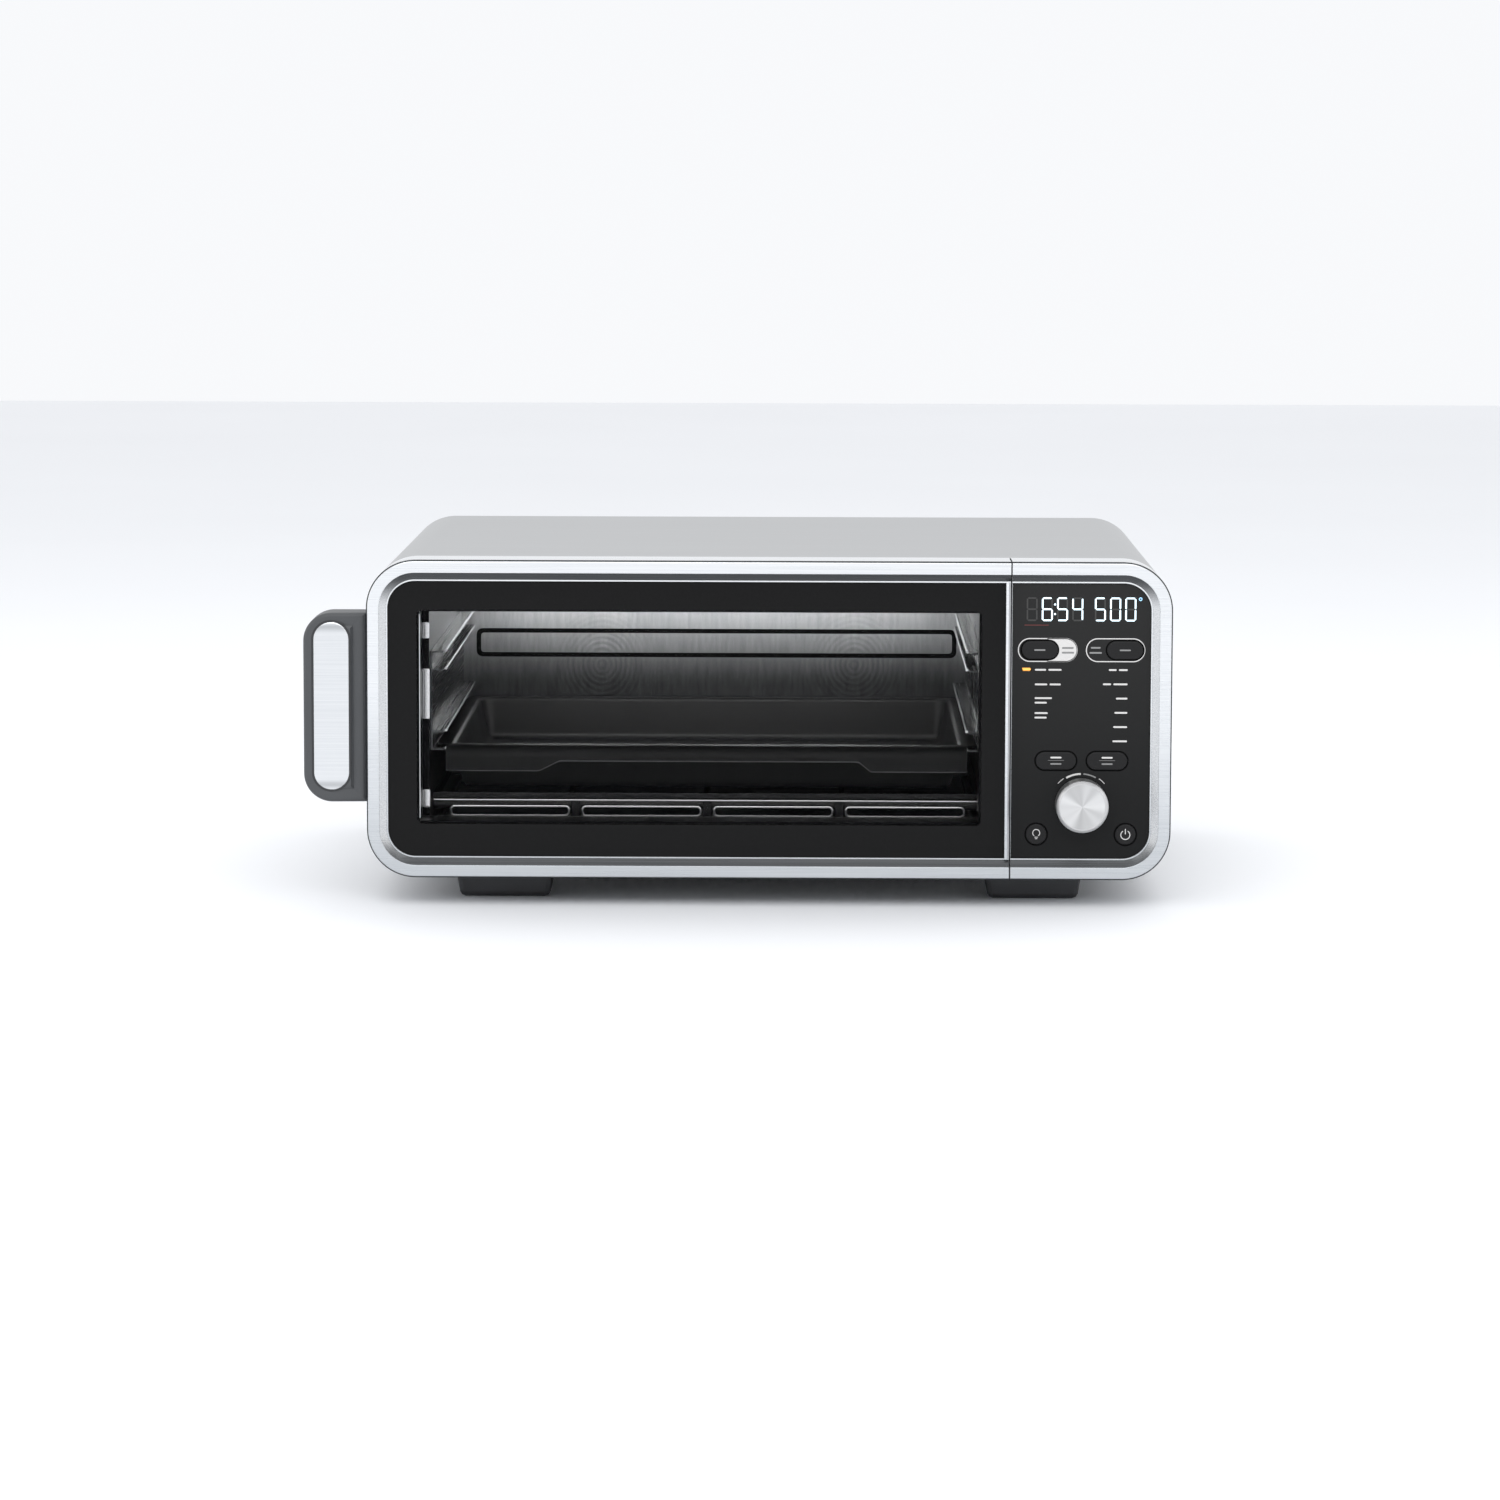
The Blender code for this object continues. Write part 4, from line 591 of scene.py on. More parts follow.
def grip_section():
    """Inset and depth from the middle of the face, over the rounded front edge, back along the wall and
    forward again into the finger hollow."""
    face, back = grip_y
    reach = half_of(grip_x) - 0.0006
    face_insets = np.arange(reach, EDGE_ROUND, -0.0008)
    inner = np.column_stack([face_insets, np.full(len(face_insets), face)])
    turn = np.linspace(0, math.pi / 2, 9)
    edge = np.column_stack([EDGE_ROUND * (1 - np.sin(turn)), face + EDGE_ROUND * (1 - np.cos(turn))])
    rear = filleted([(0, face + EDGE_ROUND), (0, back), (GRIP_WALL, back), (GRIP_WALL, face + GRIP_FRONT),
                     (reach, face + GRIP_FRONT)], [0, 0.0008, 0.0008, 0.002, 0], closed=False)
    return np.vstack([inner, edge, rear[1:]])


grip_radii = {"TR": 0.0006, "BR": 0.0006, "TL": GRIP_RADIUS, "BL": GRIP_RADIUS}
grip_rows = swept((*grip_x, *grip_z), grip_radii, ALL_ROUND, grip_section(), steps=24, pitch=0.0012)
past_cove = grip_rows[..., 0] - (grip_x[1] - COVE_START)
cove = np.clip(past_cove / COVE_WIDTH, 0, 1)
swell = np.clip((past_cove - COVE_WIDTH) / (COVE_START - COVE_WIDTH), 0, 1)
fall = COVE_DEPTH * (cove ** 2 * (3 - 2 * cove)) - 0.0007 * np.sin(np.pi * swell)
near_face = np.clip(1 - (grip_rows[..., 1] - grip_y[0]) / GRIP_FRONT, 0, 1)
grip_rows[..., 1] += fall * near_face
grip_paint = moulded("handle_moulding", rgb(0.054, 0.057, 0.061), 0.44)
grip = solid("handle_grip", [loft(grip_rows)], grip_paint)
bezel_box = grown(inlay_x, inlay_z, BEZEL_REACH)
bezel_radius = half_of(bezel_box[:2])
bezel_foot, bezel_face = inlay_y[0] + 0.0004, inlay_y[0] - 0.00015
bezel_corners = [(0, bezel_foot), (0, bezel_face), (BEZEL_WIDTH, bezel_face), (BEZEL_WIDTH, bezel_foot)]
bezel_section = filleted(bezel_corners, [0, 0.0002, 0.0002, 0])
bezel_rows = swept(bezel_box, bezel_radius, ALL_ROUND, bezel_section, steps=32, pitch=0.01)
bezel_paint = moulded("inlay_bezel_moulding", rgb(0.020, 0.021, 0.023), 0.40)
bezel = solid("handle_inlay_bezel", [hoop(bezel_rows)], bezel_paint)
for part in (grip, bezel):
    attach(part, "door")
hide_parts("door_handle")


# Handle inlay. A capsule of brushed steel with a flat face, painted shade near both ends standing for its
# dished ends, and a fine turned edge, pressed into the handle's face.
INLAY_EDGE = 0.0005
INLAY_PROUD = 0.00012
END_SHADE = (0.0002, 0.0030, 0.0068)

inlay_radius = half_of(inlay_x)
inset_steps = np.concatenate([[0, 0], np.linspace(INLAY_EDGE, inlay_radius - 0.0003, 12)])
inlay_face = inlay_y[0] - INLAY_PROUD
depth_steps = np.concatenate([[inlay_y[1], inlay_face + 0.0003], np.full(12, inlay_face)])
inlay_section = np.column_stack([inset_steps, depth_steps])
inlay_rows = swept((*inlay_x, *inlay_z), inlay_radius, ALL_ROUND, inlay_section, steps=32, pitch=0.003)
inlay_paint = Paint("brushed_steel_inlay", Metallic=1.0)
inlay_streak = inlay_paint.noise(ALONG_X, 3.0)
inlay_height = inlay_paint.axes()[2]
# Painted shade near both ends of the inlay, where a dish would fall away.
from_end = half_of(inlay_z) - abs(inlay_height - middle_of(inlay_z))
end_shade = inlay_paint.step(from_end, END_SHADE[0], END_SHADE[1])
end_shade = end_shade * (1 - inlay_paint.step(from_end, END_SHADE[1], END_SHADE[2])) * 0.6
inlay_steel = inlay_paint.mix(inlay_streak, rgb(0.60, 0.62, 0.64), rgb(0.80, 0.81, 0.82))
inlay_paint.feed("Base Color", inlay_paint.mix(end_shade, inlay_steel, rgb(0.33, 0.34, 0.35)))
inlay_paint.feed("Roughness", inlay_streak * 0.16 + 0.24)
inlay_paint.bump(inlay_streak, 0.000012)
inlay_skin = loft(inlay_rows)
inlay = solid("handle_inlay_plate", [inlay_skin], inlay_paint, sharp=50)
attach(inlay, "door")
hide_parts("handle_inlay")


# Control panel rim. The same three bands as the door's rim, carried round the right side, with thin walls
# behind them; the panel's left edge is open against the door's strip.
panel_x, panel_y, panel_z = span("panel_housing")
panel_box = (*panel_x, *panel_z)
panel_path = ("BR", "TR")
panel_ends = (panel_x[0], panel_x[0])
panel_bands = swept(panel_box, CORNER_RADIUS, panel_path, band_section, panel_ends, steps=32)
left_wall = swept(
    (panel_x[0], panel_x[0] + WALL, panel_z[0] + WALL, panel_z[1] - WALL), 0.0001, ALL_ROUND,
    [(0, front + 0.0079), (0, panel_y[1])], steps=2,
)
panel_rim = solid("panel_rim", [
    strip(panel_bands),
    loft(left_wall),
], bright_paint)
for part in (panel_rim, *rim_trims("panel", panel_box, panel_path, panel_ends, panel_z)):
    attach(part, "housing")
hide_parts("panel_housing")


# Fascia. A gloss black plate pierced for the keys, the selector and the mode light, with painted light making
# it a little lighter at the top, where the display shines behind it.
_, fascia_y, fascia_z = span("panel_fascia")
fascia_paint = Paint("fascia_gloss", Specular_IOR_Level=0.09)
fascia_height = fascia_paint.axes()[2]
fascia_grain = fascia_paint.noise((900.0,) * 3, 2.0)
# Painted light: the plate grows lighter towards the top.
fascia_painted_light = fascia_paint.step(fascia_height, fascia_z[0], fascia_z[1]) * 0.85 + fascia_grain * 0.15
fascia_paint.feed("Base Color", fascia_paint.mix(fascia_painted_light, rgb(0.0095, 0.0098, 0.0100), grey(0.024)))
fascia_paint.feed("Roughness", fascia_grain * 0.06 + 0.16)
coat_with("panel_fascia", fascia_paint)


# Keys. Six soft-edged black caps that stand just proud of the fascia, each ringed by a thin near-black band
# on the fascia that is painted shade for the gap round the cap.
KEY_ROUND = 0.0009
KEY_FLANGE = 0.0010
GAP_SHADE_WIDTH = 0.0008
keys = {
    "mode_button_left": "mode_key_left", "mode_button_right": "mode_key_right", "time_button": "time_key",
    "temperature_button": "temperature_key", "light_button": "light_key", "power_button": "power_key",
}
key_paint = moulded("key_cap", rgb(0.0135, 0.0135, 0.014), 0.38, grain=3200.0, relief=0.00001, specular=0.16)
key_gap_shade_paint = moulded("key_surround", rgb(0.0025, 0.0025, 0.0027), 0.6, specular=0.05)


def key_cap_range(node):
    """The cap's own width and height: the node's box without its hidden flange."""
    x, y, z = span(node)
    return (x[0] + KEY_FLANGE, x[1] - KEY_FLANGE), y, (z[0] + KEY_FLANGE, z[1] - KEY_FLANGE)


for node, body in keys.items():
    cap_x, cap_y, cap_z = key_cap_range(node)
    cap_radius = half_of(cap_z)
    crown = np.array([
        (0, cap_y[1] - 0.004), (0, cap_y[0] + KEY_ROUND), (0.08 * KEY_ROUND, cap_y[0] + 0.62 * KEY_ROUND),
        (0.29 * KEY_ROUND, cap_y[0] + 0.29 * KEY_ROUND), (0.62 * KEY_ROUND, cap_y[0] + 0.08 * KEY_ROUND),
        (KEY_ROUND, cap_y[0]), (2 * KEY_ROUND, cap_y[0] + 0.00004), (cap_radius - 0.0003, cap_y[0] + 0.00018),
    ])
    rows = swept((*cap_x, *cap_z), cap_radius, ALL_ROUND, crown, steps=24, pitch=0.01)
    cap = solid(f"{node}_cap", [loft(rows)], key_paint, sharp=60)
    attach(cap, body)
    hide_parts(node)
    # Painted shade: a near-black ring on the fascia round each cap stands for the shade in its gap.
    ring = [(0, fascia_y[0] + 0.0001), (0.0001, fascia_y[0] - 0.00008),
            (GAP_SHADE_WIDTH - 0.0003, fascia_y[0] - 0.00008), (GAP_SHADE_WIDTH - 0.0002, fascia_y[0] + 0.0001)]
    edge_box = grown(cap_x, cap_z, GAP_SHADE_WIDTH)
    rows = swept(edge_box, cap_radius + GAP_SHADE_WIDTH, ALL_ROUND, ring, steps=24, pitch=0.01)
    rim = solid(f"{node}_surround", [hoop(rows)], key_gap_shade_paint)
    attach(rim, "housing")


# Display. Seven-segment figures for a time and a temperature behind the fascia: lit segments glow cold white,
# and the unlit ones of the clock's first figure and of the others show as faint grey ghosts.
def plate(points, face, thickness=0.00008):
    """A flat outline given as x and z, made a thin closed plate whose front is at a depth."""
    x, z = np.array(points, float).T
    rows = [np.column_stack([x, np.full(len(x), depth), z]) for depth in (face, face + thickness)]
    return loft(np.array(rows))


def print_on_fascia(pieces):
    """Each name's plates become one piece, fixed to the fascia."""
    for name, (skins, paint) in pieces.items():
        shown = solid(name, skins, paint)
        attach(shown, "housing")


def glow(name, colour, strength, variation=0.06):
    """A lit legend whose colour drifts a little over its length."""
    paint = Paint(name, Emission_Strength=strength, Roughness=0.5, Specular_IOR_Level=0.2)
    drift = paint.noise((220.0,) * 3, 2.0)
    light = paint.mix(drift, shade(colour, 1 - variation), shade(colour, 1 + variation))
    paint.feed("Base Color", paint.mix(drift, shade(colour, 0.5), shade(colour, 0.55)))
    return paint.feed("Emission Color", light)


FIGURE_WIDTH = 0.0065
FIGURE_HEIGHT = 0.0141
STROKE = 0.00092
FIGURE_PITCH = 0.0090
FIGURES_LOW = 0.1543
PANEL_REACH = 0.0532
READOUTS = ((-0.0333, " 654"), (0.0071, "500"))
COLON_X = -0.0165
COLON_RISES = (0.0042, 0.0099)
DEGREE_X = 0.0341
SEGMENTS_LIT = {"4": "bcfg", "5": "acdfg", "6": "acdefg", "0": "abcdef", " ": ""}


def segment(letter, x, z):
    """A bar with pointed ends: a, g and d lie across at the top, middle and foot; f, b, e and c stand."""
    half, gap = STROKE / 2, 0.00016
    middle = FIGURE_HEIGHT / 2
    if letter in "agd":
        height = z + {"a": FIGURE_HEIGHT - half, "g": middle, "d": half}[letter]
        left, right = x + half + gap, x + FIGURE_WIDTH - half - gap
        return [(left, height), (left + half, height + half), (right - half, height + half), (right, height),
                (right - half, height - half), (left + half, height - half)]
    across = x + (half if letter in "fe" else FIGURE_WIDTH - half)
    low = z + (middle if letter in "fb" else half) + gap
    high = z + (FIGURE_HEIGHT - half if letter in "fb" else middle) - gap
    return [(across, low), (across + half, low + half), (across + half, high - half), (across, high),
            (across - half, high - half), (across - half, low + half)]


def ring_points(x, z, radius, width, start, end, steps=24):
    """A band of an arc: out along the outer radius from one angle to the other, and back along the inner."""
    turn = np.radians(np.linspace(start, end, steps + 1))
    circle = np.column_stack([np.cos(turn), np.sin(turn)])
    return np.array([x, z]) + np.vstack([(radius + width / 2) * circle, (radius - width / 2) * circle[::-1]])


panel_middle = panel_x[1] - PANEL_REACH
legend_face = fascia_y[0] - 0.00006
floor_of_body = panel_z[0]
figures_z = floor_of_body + FIGURES_LOW
lit, ghost = [], []
for start, figures in READOUTS:
    for i, figure in enumerate(figures):
        x = panel_middle + start + i * FIGURE_PITCH
        for letter in "abcdefg":
            target = lit if letter in SEGMENTS_LIT[figure] else ghost
            target.append(plate(segment(letter, x, figures_z), legend_face))
for rise in COLON_RISES:
    dot = ring_points(panel_middle + COLON_X, figures_z + rise, 0.0003, 0.0006, 0, 350, 12)
    lit.append(plate(dot[:13], legend_face))
degree = ring_points(panel_middle + DEGREE_X, figures_z + FIGURE_HEIGHT - 0.0009, 0.0008, 0.0005, 0, 355, 20)
print_on_fascia({
    "display_figures": (lit, glow("display_glow", rgb(0.74, 0.91, 1.0), 1.6)),
    "display_unlit_segments": (ghost, moulded("unlit_segment", rgb(0.030, 0.030, 0.029), 0.4)),
    "display_degree_ring": ([plate(degree, legend_face)], glow("degree_glow", rgb(0.35, 0.65, 0.95), 1.3)),
})


# Printed legends. White capsule outlines round the two mode keys, one of them half filled, plain bars where a
# printed word would be, and thin strokes over the selector.
def capsule(x_range, z_range, steps=16):
    """A bar with half-round ends."""
    return outline((*x_range, *z_range), half_of(z_range), ALL_ROUND, 0, steps=steps)


def oblong(x_range, z_range):
    (left, right), (low, high) = x_range, z_range
    return np.array([(left, low), (right, low), (right, high), (left, high)])


def bar(left, length, height, thick=0.00105):
    """One word's bar: left end, length and the height of its middle line above the body's bottom."""
    middle = floor_of_body + height
    return plate(capsule((left, left + length), (middle - thick / 2, middle + thick / 2), 6), legend_face)


MODE_RISE = 0.1371
MODE_HALF = 0.0071
MODE_OUTLINES = ((-0.0383, -0.0029), (0.0020, 0.0372))
WELL_GAP = 0.0007
white_ink = moulded("white_ink", rgb(0.62, 0.61, 0.60), 0.5)
grey_ink = moulded("grey_ink", grey(0.23), 0.5)
bright_ink, dim_ink = [], []
mode_z = floor_of_body + MODE_RISE
for left, right in MODE_OUTLINES:
    box = (panel_middle + left, panel_middle + right, mode_z - MODE_HALF, mode_z + MODE_HALF)
    section = oblong((0, 0.0006), (legend_face, legend_face + 0.0001))
    rows = swept(box, MODE_HALF, ALL_ROUND, section, steps=24, pitch=0.02)
    bright_ink.append(hoop(rows))
    if left == MODE_OUTLINES[0][0]:
        key_x, _, key_z = key_cap_range("mode_button_left")
        well = half_of(key_z) + WELL_GAP
        turn = np.radians(np.linspace(90, -90, 25))
        half_circle = np.column_stack([np.cos(turn), np.sin(turn)])
        outer = [box[1] - 0.0072, mode_z] + 0.0070 * half_circle
        centre = key_x[1] + WELL_GAP - well
        inner = [centre, mode_z] + well * half_circle
        foot, top = ([(centre - 0.0014, mode_z + rise)] for rise in (-0.0070, 0.0070))
        bright_ink.append(plate(np.vstack([outer, foot, inner[::-1], top]), legend_face))
WORD_GAP = 0.0014
WORDS_LEFT, WORDS_RIGHT = -0.0281, 0.0269
WORDS_TOP = 0.1253
ROW_PITCH = 0.0085
LEFT_WORDS = [(WORDS_TOP, (0.0066, 0.0078)), (0.1166, (0.0074, 0.0066)), (0.1084, (0.0102,)),
              (0.1057, (0.0072,)), (0.0995, (0.0078,)), (0.0968, (0.0072,))]
RIGHT_WORDS = [(0.0046, 0.0052), (0.0048, 0.0084), (0.0068,), (0.0076,), (0.0082,), (0.0086,)]


def word_bars(x, lengths, height):
    """Bars of one line, from its left end on."""
    for length in lengths:
        bright_ink.append(bar(x, length, height))
        x += length + WORD_GAP


for height, lengths in LEFT_WORDS:
    word_bars(panel_middle + WORDS_LEFT, lengths, height)
for row, lengths in enumerate(RIGHT_WORDS):
    line_length = sum(lengths) + WORD_GAP * (len(lengths) - 1)
    word_bars(panel_middle + WORDS_RIGHT - line_length, lengths, WORDS_TOP - row * ROW_PITCH)
for height, length in ((MODE_RISE + 0.0014, 0.0058), (MODE_RISE - 0.0016, 0.0074)):
    dim_ink.append(bar(panel_middle + 0.0078 - length / 2, length, height, 0.0010))
KNOB_RISE = 0.0454
knob_z = floor_of_body + KNOB_RISE
knob_marks = [(bright_ink, 0.0183, 0.0004, 139, 125), (bright_ink, 0.0183, 0.0004, 55, 41),
              (bright_ink, 0.0178, 0.0011, 120, 91), (dim_ink, 0.0178, 0.0008, 86, 61)]
for ink, radius, width, start, end in knob_marks:
    ink.append(plate(ring_points(panel_middle, knob_z, radius, width, start, end), legend_face))
red_ink = moulded("red_line_ink", rgb(0.09, 0.012, 0.010), 0.5)
red_line = [panel_middle, floor_of_body] + oblong((-0.0345, -0.0202), (0.1516, 0.1522))
dark_words = [
    plate([panel_middle, mode_z] + capsule((-0.0122, right), z_range, 6), legend_face - 0.00008)
    for right, z_range in ((-0.0053, (0.0007, 0.0018)), (-0.0050, (-0.0021, -0.0010)))
]
print_on_fascia({
    "printed_legends": (bright_ink, white_ink), "printed_legends_dim": (dim_ink, grey_ink),
    "display_red_line": ([plate(red_line, legend_face)], red_ink),
    "printed_legends_dark": (dark_words, grey_ink),
})


# Key legends. Bars on the mode, time and temperature keys, a bulb outline on the light key and a broken ring
# with a stroke on the power key, each printed on its cap so that it travels with it.
def key_legend(node, shapes, paint, name):
    """Printed shapes on a cap, at its face and round its middle; each shape is given about the middle."""
    x_range, y_range, z_range = key_cap_range(node)
    middle = np.array([middle_of(x_range), middle_of(z_range)])
    face = y_range[0] - 0.00002
    made = solid(name, [plate(np.array(shape) + middle, face, 0.00022) for shape in shapes], paint)
    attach(made, keys[node])


def centred_bar(length, height, thick):
    return capsule((-length / 2, length / 2), (height - thick / 2, height + thick / 2), 6)


for node in ("mode_button_left", "mode_button_right"):
    key_legend(node, [centred_bar(0.0066, 0, 0.0009)], grey_ink, f"{node}_legend")
for node in ("time_button", "temperature_button"):
    key_legend(node, [centred_bar(0.0066, 0.0020, 0.0010)], white_ink, f"{node}_legend")
    key_legend(node, [centred_bar(0.0096, 0.0003, 0.0002), centred_bar(0.0066, -0.0018, 0.0009)], grey_ink,
               f"{node}_lower_legend")
bulb = [ring_points(0, 0.0008, 0.0021, 0.00045, -54, 234), centred_bar(0.0021, -0.0017, 0.0004),
        centred_bar(0.0014, -0.0026, 0.0004)]
key_legend("light_button", bulb, white_ink, "bulb_icon")
power = [ring_points(0, -0.0002, 0.0027, 0.00052, 122, 418),
         oblong((-0.00026, 0.00026), (0.0002, 0.0034))]
key_legend("power_button", power, white_ink, "power_icon")


# Mode light. A small amber lens, pressed into the fascia from behind, that glows beside the first of the
# printed bars.
LENS_HALF = (0.0024, 0.0007)

amber_paint = glow("amber_lens_glow", rgb(1.0, 0.47, 0.10), 1.1, 0.12)
lens_x, lens_y, lens_z = span("mode_light")
lens_box = (middle_of(lens_x) - LENS_HALF[0], middle_of(lens_x) + LENS_HALF[0],
            middle_of(lens_z) - LENS_HALF[1], middle_of(lens_z) + LENS_HALF[1])
lens_section = [(0, lens_y[1]), (0, lens_y[0] + 0.0002), (0.0001, lens_y[0] + 0.00006), (0.0003, lens_y[0])]
lens_rows = swept(lens_box, LENS_HALF[1], ALL_ROUND, lens_section, steps=12, pitch=0.01)
lens = solid("mode_light_lens", [loft(lens_rows)], amber_paint, sharp=60)
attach(lens, "housing")
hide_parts("mode_light")


# Selector knob. Turned aluminium with a shallow dished face carrying fine rings in its relief and a painted
# sheen of light and dark wedges, a rounded shoulder and a plain side.
def full_turn(steps):
    return np.linspace(0, 2 * math.pi, steps, endpoint=False)


def turned(profile, x, z, steps=96):
    """A profile of radius and depth spun about an axis along Y: x + r cos a, depth, z + r sin a."""
    turn = full_turn(steps)
    radius = np.array(profile)[:, :1]
    depth = np.repeat(np.array(profile)[:, 1:], steps, axis=1)
    return np.stack([x + radius * np.cos(turn), depth, z + radius * np.sin(turn)], axis=-1)


KNOB_FACE_RADIUS = 0.0136
KNOB_DISH = 0.0007
KNOB_BORE = (0.0045, 0.006)

knob_x, knob_y, _ = span("knob")
KNOB_RADIUS = half_of(knob_x)
face_y, back_edge = knob_y
knob_profile = [
    (0.00002, face_y + KNOB_DISH), (0.006, face_y + KNOB_DISH * 0.6),
    (KNOB_FACE_RADIUS - 0.0004, face_y + 0.0003), (KNOB_FACE_RADIUS - 0.0001, face_y + 0.0003),
    (KNOB_FACE_RADIUS, face_y), (KNOB_FACE_RADIUS + 0.0003, face_y),
    (KNOB_RADIUS - 0.0003, face_y + 0.0013), (KNOB_RADIUS, face_y + 0.0018),
    (KNOB_RADIUS, back_edge - 0.0003), (KNOB_RADIUS - 0.0003, back_edge), (KNOB_BORE[0], back_edge),
    (KNOB_BORE[0], back_edge - KNOB_BORE[1]), (0.00002, back_edge - KNOB_BORE[1]),
]
knob_paint = Paint("spun_aluminium", Metallic=1.0)
x, y, z = knob_paint.axes()
across, up = x - middle_of(knob_x), z - knob_z
angle = up.math("ARCTAN2", up, across)
distance = (across * across + up * up).root()


def wave(value, rate, phase=0.0):
    return value.math("SINE", value * rate + phase)


# Painted sheen: light and dark wedges round the middle of the face, fixed to the knob.
painted_sheen_wedges = wave(angle, 2.0, 1.2) * 0.5 + wave(angle, 5.0, 0.4) * 0.3 + wave(angle, 9.0, 2.2) * 0.2
on_face = 1 - knob_paint.step(distance, KNOB_FACE_RADIUS - 0.0005, KNOB_FACE_RADIUS)
rings = wave(distance, 26000.0)
painted_sheen = (painted_sheen_wedges * 0.5 + 0.5) * on_face + (1 - on_face) * 0.5
knob_paint.feed("Base Color", knob_paint.mix(painted_sheen, grey(0.44), grey(0.74)))
knob_paint.feed("Roughness", rings * 0.03 + 0.34)
knob_paint.bump(rings * on_face, 0.000003)
knob_skin = loft(turned(knob_profile, middle_of(knob_x), knob_z))
knob = solid("selector_knob_turning", [knob_skin], knob_paint, sharp=30)
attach(knob, "selector_knob")
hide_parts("knob")


# Cavity liner. Satin steel sheets, a little heat-tinted, with a pressed rectangular groove across the back
# that is painted dark as shade so that it reads as a dark line, painted light on the back sheet, bright
# towards the top and dark towards the bottom, and faint turned rings where the back sheet was pressed.
wall_paint = Paint("liner_satin", Metallic=1.0)
wall_streak = wall_paint.noise((500.0, 30.0, 30.0), 3.0)
wall_tint = wall_paint.noise((14.0, 14.0, 14.0), 3.0)
wall_blend = wall_streak * 0.45 + wall_tint * 0.55
wall_paint.feed("Base Color", wall_paint.mix(wall_blend, rgb(0.10, 0.102, 0.104), rgb(0.34, 0.345, 0.35)))
wall_paint.feed("Roughness", wall_blend * 0.2 + 0.22)
wall_paint.bump(wall_streak, 0.00003)
for node in ("cavity_left_wall", "cavity_right_wall", "cavity_ceiling", "cavity_floor"):
    coat_with(node, wall_paint)
SHADE_HEIGHTS = (0.096, 0.156)
PRESSED_RINGS = ((-0.0930, 0.1113), (0.0725, 0.1117))
RING_RATE = 1900.0
RING_REACH = (0.010, 0.045)

back_y = span("cavity_back_wall")[1]
back_paint = Paint("liner_back", Metallic=1.0)
x, y, z = back_paint.axes()
# Painted shade: the floor of the pressed groove is near black.
groove_painted_shade = back_paint.step(y, back_y[0] + 0.0001, back_y[0] + 0.0003)
pressed = None
for centre_x, centre_z in PRESSED_RINGS:
    dx, dz = x - centre_x, (z - centre_z) * 0.9
    reach = (dx * dx + dz * dz).root()
    ripple = wave(reach, RING_RATE) * (1 - back_paint.step(reach, *RING_REACH))
    pressed = ripple if pressed is None else pressed + ripple
back_streak = back_paint.noise((420.0, 30.0, 60.0), 4.0)
back_shade = back_streak * 0.8 + pressed * 0.12 + 0.1
# Painted light: the back sheet is bright towards the top and dark towards the bottom, between the two shade
# heights.
back_painted_shade = back_paint.mix(back_shade, rgb(0.035, 0.036, 0.037), rgb(0.12, 0.122, 0.124))
back_painted_light = back_paint.mix(back_shade, rgb(0.46, 0.47, 0.475), rgb(0.90, 0.91, 0.92))
steel_back = back_paint.mix(back_paint.step(z, *SHADE_HEIGHTS), back_painted_shade, back_painted_light)
back_paint.feed("Base Color", back_paint.mix(groove_painted_shade, steel_back, grey(0.008)))
back_paint.feed("Roughness", back_streak * 0.15 + 0.28)
back_paint.bump(back_streak * 0.5 + pressed * 0.3, 0.00008)
coat_with("cavity_back_wall", back_paint)


# Rack guides and jamb strips. Pressed steel channels on both side walls with a bright rod along each ledge,
# the bright front flanges that hold them, and the dark frame round the cavity's mouth.
rail_paint = brushed("rack_guide_steel", rgb(0.10, 0.102, 0.105), 0.26, (1300.0, 9.0, 1300.0), 0.4)
for node in ("rack_guide_left", "rack_guide_right"):
    coat_with(node, rail_paint)
mouth_front = span("front_frame")[1][0]
mouth_left = span("cavity_left_wall")[0][1]
JAMB_RISES = ((0.0545, 0.0655), (0.1080, 0.1385), (0.1565, 0.1665))
jamb_foot, jamb_face = mouth_front - 0.0002, mouth_front - 0.0010
jamb_section = filleted([(0, jamb_foot), (0, jamb_face), (0.0018, jamb_face)], [0, 0.0004, 0], closed=False)
jamb_skins = []
for low, high in JAMB_RISES:
    jamb_box = (mouth_left - 0.0040, mouth_left + 0.0005, low, high)
    rows = swept(jamb_box, 0.0008, ALL_ROUND, jamb_section, steps=4)
    jamb_skins.append(loft(rows))
jamb_paint = brushed("jamb_strip_steel", rgb(0.95, 0.95, 0.96), 0.15, (1300.0, 1300.0, 9.0), 0.1)
jambs = solid("mouth_jamb_strips", jamb_skins, jamb_paint)
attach(jambs, "housing")
ROD = 0.0009
ROD_START = 0.0085
ALONG_Y = (1300.0, 9.0, 1300.0)
rod_turn = full_turn(10)
rod_skins = []
for side in ("left", "right"):
    guide_x, guide_y, guide_z = span(f"rack_guide_{side}")
    tip = guide_x[1] + ROD if side == "left" else guide_x[0] - ROD
    for height in (guide_z[0] + 0.0004, guide_z[0] + 0.0112, guide_z[1] - 0.0112, guide_z[1] - 0.0004):
        ring = np.column_stack([tip + ROD * np.cos(rod_turn), np.zeros(10), height + ROD * np.sin(rod_turn)])
        rows = [ring + [0, depth, 0] for depth in np.linspace(guide_y[0] + ROD_START, guide_y[1], 12)]
        rod_skins.append(loft(np.array(rows)))
rods = solid("rack_guide_rods", rod_skins, brushed("rod_steel", rgb(0.82, 0.83, 0.84), 0.2, ALONG_Y))
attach(rods, "housing")
frame_paint = brushed("front_frame_steel", rgb(0.012, 0.012, 0.013), 0.42)
coat_with("front_frame", frame_paint)


